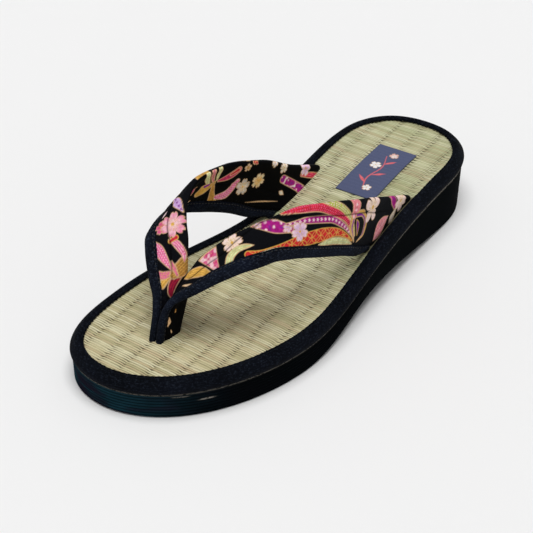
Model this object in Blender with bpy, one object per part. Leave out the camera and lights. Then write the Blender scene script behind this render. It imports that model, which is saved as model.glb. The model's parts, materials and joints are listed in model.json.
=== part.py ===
"""Zori sandal for the left foot: foam wedge sole, woven rush footbed, cloth edge tape and V-shaped strap.

Toe toward -Y, heel toward +Y, +X the outer (little toe) side, Z up, floor at z = 0, origin under the
middle of the sandal. Sizes are in millimetres and become metres where meshes are made.
"""

import bmesh
import bpy
import numpy as np

MM = 0.001

# Whole sandal
LENGTH = 240.0  # over the edge tape, toe tip to heel back
WIDTH = 93.2  # between the two widest points of the edge tape
GAP = 0.3  # clearance between pieces that touch

# Height of the rush surface above the floor
TOE_TOP = 16.8
HEEL_TOP = 29.0
RISE_START, RISE_END = 0.261, 0.838  # shares of LENGTH between which the footbed climbs to the heel

# Footbed board
BOARD_THICK = 4.0
BOARD_INSET = 2.6  # from the outside of the tape to the edge of the board

# Edge tape
TAPE_WIDTH = 6.3
TAPE_PROUD = 1.7  # above the rush
TAPE_DROP = 4.4  # below the rush
LIP_ROUND = 0.2  # how far the lip's underside stays behind its edge
TAPE_WALL = BOARD_INSET - GAP

# Foam sole
SOLE_INSET = 0.8  # wall of the sole behind the outside of the tape
SOLE_TOP_DROP = TAPE_DROP + GAP  # shoulder under the tape, below the rush
FLOOR_ROUND = 1.0  # rounded edge at the floor
HEEL_LEAN = 1.2  # how far the back of the heel leans in at the floor
HEEL_ROUND = 2.0  # more rounding at the floor corner of the heel
LEAN_START = 0.86  # share of LENGTH from which the heel wall leans
ARCH_RISE = 6.7
ARCH_START, ARCH_TOP, ARCH_END = 0.26, 0.52, 0.87  # shares of LENGTH
TOE_SPRING = 0.4
SPRING_END = 0.10
RIBS = 6
RIB_DEPTH = 0.45
RIB_FADE_START, RIB_FADE_END = 0.34, 0.56  # shares of LENGTH between which the ribs fade out

# Strap
STRAP_RISE = 50.0  # top of the strap above the rush
STRAP_SPAN = 30.5  # from the strap's middle line to the outside of a band
STRAP_THICK = 3.0
SEAM_THICK = 2.4  # band and tape where they are sewn together
SEAM_SLOPE = 1.5  # from the seam to where the band has its full thickness
POCKET_CORNER = 1.2  # rounding of the pockets' ends
ENTRY = 2.4  # how deep the strap's feet sit in the board
STRAP_INSET = 9.0  # from the outside of the edge tape to the middle of a band, at its slot
POST_ACROSS = -0.104  # share of WIDTH, middle of the toe post
POST_ALONG = 0.124
SLOT_ALONG = 0.53
BIND_WIDTH = 6.0
BIND_THICK = 3.2

# Label
LABEL_WIDTH = 20.6
LABEL_LENGTH = 44.0
LABEL_THICK = 0.5
LABEL_ACROSS, LABEL_ALONG = 0.127, 0.767

# Fineness of the meshes
SIDE_COUNT = 46  # points along each side of the outline
SPLINE_COUNT = 40  # points of the dense outline between two rows of its table
CORNER_TURNS = (0.35, 0.70)  # shares of a quarter turn at which the floor corner has points
ROW_COUNT = 3  # strap rings between two rows of its table
POCKET_COUNT = 5  # strap rings that a pocket follows, from the end of the foot to above the rush
LABEL_COUNT = 9  # sections of the label
CROWN_SHARES = (0.25, 0.50, 0.75)  # shares of a band's cloth at which its section has points
TRAVEL_STEP = 0.2  # rows ahead and behind that give a section its direction of travel
SMOOTH_ANGLE = 38.0

# Outside of the edge tape from above, counter-clockwise from the toe.
# along is the share of LENGTH from the toe tip, across the share of WIDTH toward the outer side.
OUTLINE_COLUMNS = ("place", "along", "across")
OUTLINE = (
    ("toe tip", 0.000, -0.175),
    ("toe, outer", 0.033, 0.109),
    ("toe corner, outer", 0.107, 0.303),
    ("before the ball, outer", 0.194, 0.424),
    ("ball, outer", 0.317, 0.500),
    ("waist, outer", 0.455, 0.494),
    ("arch, outer", 0.621, 0.477),
    ("heel, outer", 0.804, 0.480),
    ("heel corner, outer", 0.920, 0.442),
    ("heel back, outer", 0.980, 0.314),
    ("heel back", 1.000, 0.115),
    ("heel back, inner", 0.981, -0.081),
    ("heel corner, inner", 0.919, -0.217),
    ("heel, inner", 0.817, -0.257),
    ("arch, inner", 0.630, -0.248),
    ("waist, inner", 0.517, -0.273),
    ("instep, inner", 0.367, -0.416),
    ("ball, inner", 0.264, -0.482),
    ("before the ball, inner", 0.180, -0.500),
    ("toe, inner", 0.098, -0.484),
    ("toe corner, inner", 0.037, -0.402),
)

# One row for each section of a band, from the foot of the toe post to the slot at the side.
# along: share of LENGTH from the toe tip. out: share of STRAP_SPAN from the strap's middle line.
# up: share of STRAP_RISE above the rush. No out means in the slot at the edge, and no up means seated
# in the board. thick: share of STRAP_THICK. tape: share of BIND_WIDTH.
# crown: how far the band bows outward, in shares of its own width.
# inner_front, inner_rear: how much higher the edges of the inner band are, in shares of STRAP_RISE.
STRAP_COLUMNS = (
    "place",
    "front_along",
    "front_out",
    "front_up",
    "rear_along",
    "rear_out",
    "rear_up",
    "thick",
    "tape",
    "crown",
    "inner_front",
    "inner_rear",
)
STRAP = (
    ("post foot", 0.1245, 0.062, None, 0.1799, 0.030, None, 1.25, 0.62, 0.00, 0.00, 0.00),
    ("post", 0.1358, 0.062, 0.200, 0.2000, 0.030, 0.250, 1.25, 0.64, 0.00, 0.00, 0.00),
    ("post top", 0.1475, 0.130, 0.355, 0.2150, 0.034, 0.450, 1.20, 0.74, 0.00, 0.00, 0.00),
    ("parting", 0.1730, 0.390, 0.476, 0.2270, 0.092, 0.620, 1.05, 0.90, 0.01, -0.005, 0.00),
    ("neck", 0.2030, 0.655, 0.605, 0.2450, 0.213, 0.735, 1.00, 1.00, 0.03, -0.020, -0.010),
    ("shoulder", 0.2340, 0.859, 0.675, 0.2690, 0.413, 0.865, 1.00, 1.00, 0.05, -0.050, -0.045),
    ("turn", 0.2714, 0.957, 0.680, 0.3047, 0.639, 0.960, 1.00, 1.00, 0.06, -0.045, -0.060),
    ("crest", 0.3214, 0.990, 0.600, 0.3547, 0.797, 0.990, 1.00, 1.00, 0.06, 0.010, -0.040),
    ("side", 0.3838, 0.990, 0.440, 0.4338, 0.895, 0.850, 1.00, 1.00, 0.05, 0.030, 0.005),
    ("low side", 0.4463, 0.975, 0.265, 0.5250, 0.885, 0.620, 1.00, 1.00, 0.04, 0.020, 0.035),
    ("above the slot", 0.4950, 0.935, 0.105, 0.6200, 0.835, 0.322, 1.00, 1.00, 0.00, 0.00, 0.00),
    ("slot mouth", 0.5330, None, 0.010, 0.7210, None, 0.012, 1.00, 1.00, 0.00, 0.00, 0.00),
    ("slot", 0.5350, None, None, 0.7230, None, None, 1.00, 1.00, 0.00, 0.00, 0.00),
)

# Section of the edge tape, from the lip over the board round the outside to the foot. inset is a share
# of TAPE_WIDTH, above a share of TAPE_PROUD and below a share of TAPE_DROP.
TAPE_SECTION_COLUMNS = ("place", "inset", "above", "below")
TAPE_SECTION = (
    ("lip edge", 1.000, 0.46, 0.00),
    ("lip round", 0.930, 0.80, 0.00),
    ("top, inner", 0.780, 1.00, 0.00),
    ("top", 0.550, 0.98, 0.00),
    ("top, outer", 0.340, 0.55, 0.00),
    ("roll, high", 0.160, 0.00, 0.08),
    ("roll", 0.045, 0.00, 0.27),
    ("outside", 0.000, 0.00, 0.48),
    ("roll, low", 0.035, 0.00, 0.75),
    ("foot, outer", 0.120, 0.00, 0.94),
    ("foot", 0.200, 0.00, 1.00),
)

# Section of the strap's tape, behind its front edge. behind is a share of the tape's width there, and
# half, from the middle to the outside, a share of BIND_THICK.
BIND_SECTION_COLUMNS = ("place", "behind", "half")
BIND_SECTION = (
    ("belly", 0.78, 0.46),
    ("middle", 0.45, 0.50),
    ("nose, high", 0.18, 0.42),
    ("nose", 0.04, 0.24),
    ("front edge", 0.00, 0.00),
)

# Rear edge of a band. ahead, from the edge, and half, from the middle, are shares of its thickness.
HEM_SECTION_COLUMNS = ("place", "ahead", "half")
HEM_SECTION = (
    ("hem", 0.60, 0.49),
    ("round", 0.22, 0.36),
    ("rear edge", 0.00, 0.00),
)

COLOURS = {
    "sole": "#1f262a",
    "tatami_insole": "#c6bf93",
    "edge_binding": "#25262f",
    "strap": "#17181d",
    "strap_binding_outer": "#20232e",
    "strap_binding_inner": "#20232e",
    "heel_label": "#50566e",
}
ROUGHNESS = {"sole": 0.55, "heel_label": 0.7}
CLOTH_ROUGHNESS = 0.85


def smooth(value, start, end):
    """0 before start, 1 after end, with a soft ramp between."""
    share = np.clip((value - start) / (end - start), 0.0, 1.0)
    return share * share * (3.0 - 2.0 * share)


def y_at(along):
    return (along - 0.5) * LENGTH


def along_at(y):
    return y / LENGTH + 0.5


def footbed_top(y):
    """Height of the rush surface."""
    return TOE_TOP + (HEEL_TOP - TOE_TOP) * smooth(along_at(y), RISE_START, RISE_END)


def sole_bottom(y):
    """Height of the underside: the raised arch and the slight spring at the toe."""
    along = along_at(y)
    arch = smooth(along, ARCH_START, ARCH_TOP) * (1.0 - smooth(along, ARCH_TOP, ARCH_END))
    spring = np.clip(1.0 - along / SPRING_END, 0.0, 1.0) ** 2
    return ARCH_RISE * arch + TOE_SPRING * spring


def closed_spline(points, per_span):
    """Smooth closed curve through points, as per_span points for each span."""
    count = len(points)
    ahead = np.roll(points, -1, axis=0)
    behind = np.roll(points, 1, axis=0)
    chord = np.linalg.norm(ahead - points, axis=1)
    before = np.roll(chord, 1)
    system = np.zeros((count, count))
    for i in range(count):
        system[i, i - 1] = chord[i]
        system[i, i] = 2.0 * (chord[i] + before[i])
        system[i, (i + 1) % count] = before[i]
    slopes_in = (points - behind) / before[:, None]
    slopes_out = (ahead - points) / chord[:, None]
    right = 3.0 * (chord[:, None] * slopes_in + before[:, None] * slopes_out)
    slope = np.linalg.solve(system, right)
    slope_next = np.roll(slope, -1, axis=0)
    curve = []
    for t in np.arange(per_span) / per_span:
        h = chord[:, None]
        start = (2 * t**3 - 3 * t**2 + 1) * points + (t**3 - 2 * t**2 + t) * h * slope
        end = (3 * t**2 - 2 * t**3) * ahead + (t**3 - t**2) * h * slope_next
        curve.append(start + end)
    return np.stack(curve, axis=1).reshape(-1, 2)


def outline_curve():
    rows = np.array([row[1:] for row in OUTLINE], float)
    points = np.column_stack([rows[:, 1] * WIDTH, y_at(rows[:, 0])])
    return closed_spline(points, SPLINE_COUNT)


def outline_sides():
    """Dense outer and inner sides of the outline, each from the toe tip to the heel back."""
    curve = outline_curve()
    curve = np.roll(curve, -int(curve[:, 1].argmin()), axis=0)
    heel = int(curve[:, 1].argmax())
    outer = curve[: heel + 1]
    inner = np.vstack([curve[:1], curve[heel:][::-1]])
    return outer, inner


OUTER_SIDE, INNER_SIDE = outline_sides()


def edge_x(y, side):
    """Where the outline is at this y, on the outer side (+1) or inner side (-1)."""
    line = OUTER_SIDE if side > 0 else INNER_SIDE
    return float(np.interp(y, line[:, 1], line[:, 0]))


def outline_ring(half):
    """2 * half outline points, closer together at toe and heel, and their outward normals."""
    turns = np.linspace(0.0, np.pi, half + 1)
    toe, heel = OUTER_SIDE[0, 1], OUTER_SIDE[-1, 1]
    y = 0.5 * (toe + heel) - 0.5 * (heel - toe) * np.cos(turns)
    x_outer = np.interp(y, OUTER_SIDE[:, 1], OUTER_SIDE[:, 0])
    x_inner = np.interp(y, INNER_SIDE[:, 1], INNER_SIDE[:, 0])
    outer = np.column_stack([x_outer, y])
    inner = np.column_stack([x_inner, y])[1:-1][::-1]
    ring = np.vstack([outer, inner])
    tangent = np.roll(ring, -1, axis=0) - np.roll(ring, 1, axis=0)
    tangent /= np.linalg.norm(tangent, axis=1)[:, None]
    normal = np.column_stack([tangent[:, 1], -tangent[:, 0]])
    return ring, normal


RING, RING_NORMAL = outline_ring(SIDE_COUNT)


def ring_at(inset, height):
    """Outline ring moved in by inset, at height(y). inset may differ from point to point."""
    inset = np.broadcast_to(np.asarray(inset, float), len(RING))
    flat = RING - RING_NORMAL * inset[:, None]
    return np.column_stack([flat, height(flat[:, 1])])


def new_mesh(name, points, faces, collection):
    """Mesh object from millimetre points, with faces turned outward."""
    mesh = bpy.data.meshes.new(name)
    mesh.from_pydata([tuple(p * MM) for p in points], [], faces)
    body = bmesh.new()
    body.from_mesh(mesh)
    bmesh.ops.triangulate(body, faces=body.faces)
    bmesh.ops.recalc_face_normals(body, faces=body.faces)
    body.to_mesh(mesh)
    body.free()
    thing = bpy.data.objects.new(name, mesh)
    collection.objects.link(thing)
    return thing


def loft(rings, closed_section=False):
    """Points and quads between rings of equal size. A closed section joins the last ring to the first."""
    size = len(rings[0])
    points = np.vstack(rings)
    spans = len(rings) if closed_section else len(rings) - 1
    faces = []
    for i in range(spans):
        here = i * size
        there = (i + 1) % len(rings) * size
        for j in range(size):
            k = (j + 1) % size
            faces.append((here + j, here + k, there + k, there + j))
    return points, faces


def pair_cap(first, size):
    """Faces across an outline ring, between points at the same place on its two sides."""
    half = size // 2
    faces = [(first, first + 1, first + size - 1)]
    for i in range(1, half - 1):
        faces.append((first + i, first + i + 1, first + size - i - 1, first + size - i))
    faces.append((first + half - 1, first + half, first + half + 1))
    return faces


def make_sole(collection):
    """Foam wedge: rounded floor edge, ribbed wall, shoulder under the tape, flat seat for the board."""
    size = len(RING)
    along = along_at(RING[:, 1])
    lean = HEEL_LEAN * smooth(along, LEAN_START, 1.0)
    corner = FLOOR_ROUND + HEEL_ROUND * smooth(along, LEAN_START, 1.0)
    rib = RIB_DEPTH * (1.0 - smooth(along, RIB_FADE_START, RIB_FADE_END))
    foot = ring_at(SOLE_INSET + lean + corner, sole_bottom)
    shoulder = ring_at(SOLE_INSET, lambda y: footbed_top(y) - SOLE_TOP_DROP)
    rings = [foot]
    for turn in CORNER_TURNS:
        angle = turn * np.pi / 2.0
        ring = ring_at(SOLE_INSET + lean + corner * (1.0 - np.sin(angle)), sole_bottom)
        ring[:, 2] += corner * (1.0 - np.cos(angle))
        rings.append(ring)
    wall_foot = sole_bottom(RING[:, 1]) + corner
    wall_height = shoulder[:, 2] - wall_foot
    for i in range(2 * RIBS + 1):
        share = i / (2 * RIBS)
        groove = rib * (i % 2)
        ring = ring_at(SOLE_INSET + lean * (1.0 - share) + groove, sole_bottom)
        ring[:, 2] = wall_foot + wall_height * share
        rings.append(ring)
    rings.append(ring_at(BOARD_INSET, lambda y: footbed_top(y) - SOLE_TOP_DROP))
    rings.append(ring_at(BOARD_INSET, lambda y: footbed_top(y) - BOARD_THICK - GAP))
    points, faces = loft(rings)
    faces += pair_cap(0, size)
    faces += pair_cap((len(rings) - 1) * size, size)
    return new_mesh("sole", points, faces, collection)


def make_insole(collection):
    size = len(RING)
    rings = [
        ring_at(BOARD_INSET, lambda y: footbed_top(y) - BOARD_THICK),
        ring_at(BOARD_INSET, footbed_top),
    ]
    points, faces = loft(rings)
    faces += pair_cap(0, size) + pair_cap(size, size)
    return new_mesh("tatami_insole", points, faces, collection)


def make_tape(collection):
    """Rolled tape: a lip over the board, a round outside and a wall down to the shoulder of the sole."""
    section = [(TAPE_WIDTH - LIP_ROUND, GAP)]
    for _, inset, above, below in TAPE_SECTION:
        section.append((inset * TAPE_WIDTH, above * TAPE_PROUD - below * TAPE_DROP))
    section += [(TAPE_WALL, -TAPE_DROP), (TAPE_WALL, GAP)]
    rings = []
    for inset, rise in section:
        rings.append(ring_at(inset, lambda y, rise=rise: footbed_top(y) + rise))
    points, faces = loft(rings, closed_section=True)
    return new_mesh("edge_binding", points, faces, collection)


def middle_x(y):
    """The strap's middle line: from the toe post to the middle of the footbed between the slots."""
    slot_y = y_at(SLOT_ALONG)
    slot_x = 0.5 * (edge_x(slot_y, 1) + edge_x(slot_y, -1))
    ends_y = (y_at(POST_ALONG), slot_y)
    return float(np.interp(y, ends_y, (POST_ACROSS * WIDTH, slot_x)))


def strap_point(along, out, up, side, higher):
    y = y_at(along)
    if out is None:
        x = edge_x(y, side) - side * STRAP_INSET
    else:
        x = middle_x(y) + side * out * STRAP_SPAN
    rise = -ENTRY if up is None else (up + higher) * STRAP_RISE
    return np.array([x, y, footbed_top(y) + rise])


def edge_bow(front_y, rear_y, side):
    """How far the outline bows outward between two places on one side, in shares of their distance."""
    straight = 0.5 * (edge_x(front_y, side) + edge_x(rear_y, side))
    return side * (edge_x(0.5 * (front_y + rear_y), side) - straight) / (rear_y - front_y)


def strap_rows(side):
    """For each row of the table: front point, rear point, thickness, tape width and crown."""
    rows = []
    for row in STRAP:
        here = dict(zip(STRAP_COLUMNS, row))
        front_higher = here["inner_front"] if side < 0 else 0.0
        rear_higher = here["inner_rear"] if side < 0 else 0.0
        front = strap_point(here["front_along"], here["front_out"], here["front_up"], side, front_higher)
        rear = strap_point(here["rear_along"], here["rear_out"], here["rear_up"], side, rear_higher)
        crown = here["crown"]
        if here["front_out"] is None:
            crown += edge_bow(front[1], rear[1], side)
        sizes = [here["thick"] * STRAP_THICK, here["tape"] * BIND_WIDTH, crown]
        rows.append(np.concatenate([front, rear, sizes]))
    return np.array(rows)


def row_slopes(rows):
    """Slope at each row, flat where a column turns, so that the curve never overshoots a row."""
    step = np.diff(rows, axis=0)
    product = step[:-1] * step[1:]
    total = step[:-1] + step[1:]
    inside = np.where(product > 0, 2.0 * product / np.where(total == 0, 1.0, total), 0.0)
    return np.vstack([step[:1], inside, step[-1:]])


def along_rows(rows, at):
    """Smooth value between rows, at counted in rows."""
    slopes = row_slopes(rows)
    i = min(int(at), len(rows) - 2)
    t = at - i
    start = (2 * t**3 - 3 * t**2 + 1) * rows[i] + (t**3 - 2 * t**2 + t) * slopes[i]
    end = (3 * t**2 - 2 * t**3) * rows[i + 1] + (t**3 - t**2) * slopes[i + 1]
    return start + end


def band_frame(rows, at, side):
    """Front point, direction across, outward normal, width and the row's sizes at one section."""
    here = along_rows(rows, at)
    last = len(rows) - 1
    ahead = along_rows(rows, min(at + TRAVEL_STEP, last))
    behind = along_rows(rows, max(at - TRAVEL_STEP, 0.0))
    front, rear = here[0:3], here[3:6]
    travel = 0.5 * (ahead[0:3] + ahead[3:6] - behind[0:3] - behind[3:6])
    width = float(np.linalg.norm(rear - front))
    across = (rear - front) / width
    normal = np.cross(travel, across) * side
    normal /= np.linalg.norm(normal)
    return front, across, normal, width, here[6:]


def band_section(rows, at, side, part):
    """Closed ring of points round one section: of the cloth band, of its tape, or of both for a pocket."""
    front, across, normal, width, (thick, seam, crown) = band_frame(rows, at, side)
    # distance behind the front edge, half thickness
    if part == "tape":
        shape = [(seam - GAP, 0.5 * SEAM_THICK)]
        shape += [(behind * seam, half * BIND_THICK) for _, behind, half in BIND_SECTION]
    elif part == "cloth":
        cloth = width - seam
        shape = [(seam, 0.5 * SEAM_THICK), (seam + SEAM_SLOPE, 0.47 * thick)]
        shape += [(seam + share * cloth, 0.5 * thick) for share in CROWN_SHARES]
        shape += [(width - ahead * thick, half * thick) for _, ahead, half in HEM_SECTION]
    else:
        wall = 0.5 * max(thick, BIND_THICK) + GAP
        corner = 0.25 * POCKET_CORNER
        shape = [(-GAP, 0.0), (corner - GAP, 0.6 * wall), (POCKET_CORNER, wall)]
        shape += [(share * width, wall) for share in CROWN_SHARES]
        shape += [(width - POCKET_CORNER, wall), (width + GAP - corner, 0.6 * wall), (width + GAP, 0.0)]
    outside = list(shape)
    inside = [(behind, -half) for behind, half in shape[::-1] if half > 0.0]
    ring = []
    for behind, offset in outside + inside:
        share = min(max(behind / width, 0.0), 1.0)
        bow = crown * width * 4.0 * share * (1.0 - share)
        ring.append(front + across * behind + normal * (bow + offset))
    return np.array(ring)


def sweep(name, rings, collection):
    points, faces = loft(rings)
    size = len(rings[0])
    faces.append(tuple(range(size)))
    faces.append(tuple(range((len(rings) - 1) * size, len(rings) * size)))
    return new_mesh(name, points, faces, collection)


def make_band(name, side, part, collection):
    rows = strap_rows(side)
    count = (len(rows) - 1) * ROW_COUNT
    rings = [band_section(rows, i / ROW_COUNT, side, part) for i in range(count + 1)]
    return sweep(name, rings, collection)


def make_pocket(name, side, start, step, collection):
    """Cutter for the pocket round a band's foot: from its end, GAP deeper, to just above the rush."""
    rows = strap_rows(side)
    rings = [band_section(rows, start + i * step, side, "pocket") for i in range(POCKET_COUNT)]
    deeper = rings[0] - np.array([0.0, 0.0, GAP])
    return sweep(name, [deeper] + rings, collection)


def make_label(collection):
    start = y_at(LABEL_ALONG) - LABEL_LENGTH / 2
    x_middle = LABEL_ACROSS * WIDTH
    rings = []
    for y in np.linspace(start, start + LABEL_LENGTH, LABEL_COUNT):
        low = footbed_top(y) + GAP
        corners = []
        for sx, high in ((-1, 0.0), (1, 0.0), (1, 1.0), (-1, 1.0)):
            corners.append([x_middle + sx * LABEL_WIDTH / 2, y, low + high * LABEL_THICK])
        rings.append(np.array(corners))
    return sweep("heel_label", rings, collection)


def boolean(target, tool, operation):
    step = target.modifiers.new(operation.lower() + " " + tool.name, "BOOLEAN")
    step.operation = operation
    step.solver = "EXACT"
    step.object = tool


def linear(hex_colour):
    values = [int(hex_colour[i : i + 2], 16) / 255.0 for i in (1, 3, 5)]
    return [v / 12.92 if v <= 0.04045 else ((v + 0.055) / 1.055) ** 2.4 for v in values] + [1.0]


def paint(thing):
    material = bpy.data.materials.new(thing.name + "_material")
    material.use_nodes = True
    shader = material.node_tree.nodes["Principled BSDF"]
    colour = linear(COLOURS[thing.name])
    shader.inputs["Base Color"].default_value = colour
    shader.inputs["Roughness"].default_value = ROUGHNESS.get(thing.name, CLOTH_ROUGHNESS)
    material.diffuse_color = colour
    thing.data.materials.clear()
    thing.data.materials.append(material)
    for face in thing.data.polygons:
        face.use_smooth = True
    thing.data.set_sharp_from_angle(angle=np.radians(SMOOTH_ANGLE))


def main():
    for thing in list(bpy.data.objects):
        bpy.data.objects.remove(thing)
    parts = bpy.data.collections.new("zori_sandal")
    tools = bpy.data.collections.new("cutters")
    for collection in (parts, tools):
        bpy.context.scene.collection.children.link(collection)
    tools.hide_render = True

    step = 1.0 / ROW_COUNT
    feet = (("post", 0.0, step), ("slot", len(STRAP) - 1.0, -step))
    insole = make_insole(parts)
    strap = make_band("strap", 1, "cloth", parts)
    other = make_band("strap_inner_band", -1, "cloth", tools)
    boolean(strap, other, "UNION")
    pieces = [make_sole(parts), insole, make_tape(parts), strap, make_label(parts)]
    for word, side in (("outer", 1), ("inner", -1)):
        pieces.append(make_band("strap_binding_" + word, side, "tape", parts))
        for foot, start, onward in feet:
            pocket = make_pocket(f"{foot}_pocket_{word}", side, start, onward, tools)
            boolean(insole, pocket, "DIFFERENCE")
    for tool in tools.objects:
        tool.hide_render = True
        tool.display_type = "WIRE"
    for piece in pieces:
        paint(piece)


main()
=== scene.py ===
"""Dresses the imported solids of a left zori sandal: foam sole, woven rush footbed, cloth edge tape,
printed crepe strap with rolled tapes, heel label, and a studio to show them in.

Toe toward -Y, heel toward +Y, +X the outer side, floor at z = 0. Sizes inside are in millimetres.
"""

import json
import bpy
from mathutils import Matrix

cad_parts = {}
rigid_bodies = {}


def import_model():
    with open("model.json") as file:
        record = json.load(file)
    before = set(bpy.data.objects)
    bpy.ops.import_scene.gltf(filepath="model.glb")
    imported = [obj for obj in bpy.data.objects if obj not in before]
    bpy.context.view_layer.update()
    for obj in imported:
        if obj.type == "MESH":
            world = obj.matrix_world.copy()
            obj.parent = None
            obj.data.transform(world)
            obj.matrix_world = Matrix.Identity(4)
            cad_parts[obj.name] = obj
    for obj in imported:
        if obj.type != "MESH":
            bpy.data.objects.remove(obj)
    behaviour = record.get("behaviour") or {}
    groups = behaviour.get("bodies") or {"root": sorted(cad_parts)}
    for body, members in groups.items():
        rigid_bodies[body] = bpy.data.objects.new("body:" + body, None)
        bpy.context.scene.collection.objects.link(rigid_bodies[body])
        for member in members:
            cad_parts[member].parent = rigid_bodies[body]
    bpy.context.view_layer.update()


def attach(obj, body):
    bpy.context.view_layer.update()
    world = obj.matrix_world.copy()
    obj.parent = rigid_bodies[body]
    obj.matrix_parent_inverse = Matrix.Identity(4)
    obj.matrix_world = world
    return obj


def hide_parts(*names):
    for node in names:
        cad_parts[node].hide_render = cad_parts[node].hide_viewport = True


bl_info = {
    "name": "Zori sandal",
    "version": (1, 0, 0),
    "blender": (4, 5, 0),
    "location": "View3D > Sidebar > Sandal",
    "description": "Builds the visible pieces of a zori sandal round its solids",
    "category": "Add Mesh",
}

import bpy
import numpy as np
from mathutils import Vector

for leftover in list(bpy.data.objects):
    bpy.data.objects.remove(leftover)
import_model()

MM = 0.001

# The solids' own sizes, as in their source
LENGTH = 240.0
WIDTH = 93.2
GAP = 0.3
TOE_TOP = 16.8
HEEL_TOP = 29.0
RISE_START, RISE_END = 0.261, 0.838
BOARD_THICK = 4.0
BOARD_INSET = 2.6
TAPE_WIDTH = 6.3
TAPE_PROUD = 1.7
TAPE_DROP = 4.4
SOLE_INSET = 0.8
SOLE_TOP_DROP = TAPE_DROP + GAP
FLOOR_ROUND = 1.0
HEEL_LEAN = 1.2
HEEL_ROUND = 2.0
LEAN_START = 0.86
ARCH_RISE = 6.7
ARCH_START, ARCH_TOP, ARCH_END = 0.26, 0.52, 0.87
TOE_SPRING = 0.4
SPRING_END = 0.10
RIB_FADE_START, RIB_FADE_END = 0.34, 0.56
STRAP_RISE = 50.0
STRAP_SPAN = 30.5
STRAP_THICK = 3.0
SEAM_THICK = 2.4
ENTRY = 2.4
STRAP_INSET = 9.0
POST_ACROSS = -0.104
POST_ALONG = 0.124
SLOT_ALONG = 0.53
BIND_WIDTH = 6.0
BIND_THICK = 3.2
LABEL_WIDTH = 20.6
LABEL_LENGTH = 44.0
LABEL_THICK = 0.5
LABEL_ACROSS, LABEL_ALONG = 0.127, 0.767

# Outline of the footbed: place, share of the length behind the toe, share of the width outward
OUTLINE = (
    ("toe tip", 0.000, -0.175),
    ("toe, outer", 0.033, 0.109),
    ("toe corner, outer", 0.107, 0.303),
    ("before the ball, outer", 0.194, 0.424),
    ("ball, outer", 0.317, 0.500),
    ("waist, outer", 0.455, 0.494),
    ("arch, outer", 0.621, 0.477),
    ("heel, outer", 0.804, 0.480),
    ("heel corner, outer", 0.920, 0.442),
    ("heel back, outer", 0.980, 0.314),
    ("heel back", 1.000, 0.115),
    ("heel back, inner", 0.981, -0.081),
    ("heel corner, inner", 0.919, -0.217),
    ("heel, inner", 0.817, -0.257),
    ("arch, inner", 0.630, -0.248),
    ("waist, inner", 0.517, -0.273),
    ("instep, inner", 0.367, -0.416),
    ("ball, inner", 0.264, -0.482),
    ("before the ball, inner", 0.180, -0.500),
    ("toe, inner", 0.098, -0.484),
    ("toe corner, inner", 0.037, -0.402),
)

STRAP_COLUMNS = (
    "place",
    "front_along",
    "front_out",
    "front_up",
    "rear_along",
    "rear_out",
    "rear_up",
    "thick",
    "tape",
    "crown",
    "inner_front",
    "inner_rear",
)
STRAP = (
    ("post foot", 0.1245, 0.062, None, 0.1799, 0.030, None, 1.25, 0.62, 0.00, 0.00, 0.00),
    ("post", 0.1358, 0.062, 0.200, 0.2000, 0.030, 0.250, 1.25, 0.64, 0.00, 0.00, 0.00),
    ("post top", 0.1475, 0.130, 0.355, 0.2150, 0.034, 0.450, 1.20, 0.74, 0.00, 0.00, 0.00),
    ("parting", 0.1730, 0.390, 0.476, 0.2270, 0.092, 0.620, 1.05, 0.90, 0.01, -0.005, 0.00),
    ("neck", 0.2030, 0.655, 0.605, 0.2450, 0.213, 0.735, 1.00, 1.00, 0.03, -0.020, -0.010),
    ("shoulder", 0.2340, 0.859, 0.675, 0.2690, 0.413, 0.865, 1.00, 1.00, 0.05, -0.050, -0.045),
    ("turn", 0.2714, 0.957, 0.680, 0.3047, 0.639, 0.960, 1.00, 1.00, 0.06, -0.045, -0.060),
    ("crest", 0.3214, 0.990, 0.600, 0.3547, 0.797, 0.990, 1.00, 1.00, 0.06, 0.010, -0.040),
    ("side", 0.3838, 0.990, 0.440, 0.4338, 0.895, 0.850, 1.00, 1.00, 0.05, 0.030, 0.005),
    ("low side", 0.4463, 0.975, 0.265, 0.5250, 0.885, 0.620, 1.00, 1.00, 0.04, 0.020, 0.035),
    ("above the slot", 0.4950, 0.935, 0.105, 0.6200, 0.835, 0.322, 1.00, 1.00, 0.00, 0.00, 0.00),
    ("slot mouth", 0.5330, None, 0.010, 0.7210, None, 0.012, 1.00, 1.00, 0.00, 0.00, 0.00),
    ("slot", 0.5350, None, None, 0.7230, None, None, 1.00, 1.00, 0.00, 0.00, 0.00),
)

# Fineness of the visible meshes
HALF_RING = 420
FACE_COUNT = 72  # points across each side of a band
SEED = 7

# Warp seams of the rush
WARP_ORIGIN = 0.1
WARP_OFFSETS = (-5.3, -3.4, -1.9, -1.0, -0.5, 0.0, 0.5, 1.0, 1.9, 3.4)


def linear(hex_colour):
    values = [int(hex_colour[i : i + 2], 16) / 255.0 for i in (1, 3, 5)]
    return tuple(v / 12.92 if v <= 0.04045 else ((v + 0.055) / 1.055) ** 2.4 for v in values)


def smooth(value, start, end):
    """0 before start, 1 after end, with a soft ramp between."""
    share = np.clip((np.asarray(value, float) - start) / (end - start), 0.0, 1.0)
    return share * share * (3.0 - 2.0 * share)


def y_at(along):
    return (along - 0.5) * LENGTH


def along_at(y):
    return y / LENGTH + 0.5


def footbed_top(y):
    return TOE_TOP + (HEEL_TOP - TOE_TOP) * smooth(along_at(y), RISE_START, RISE_END)


def sole_bottom(y):
    along = along_at(y)
    arch = smooth(along, ARCH_START, ARCH_TOP) * (1.0 - smooth(along, ARCH_TOP, ARCH_END))
    spring = np.clip(1.0 - along / SPRING_END, 0.0, 1.0) ** 2
    return ARCH_RISE * arch + TOE_SPRING * spring


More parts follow.
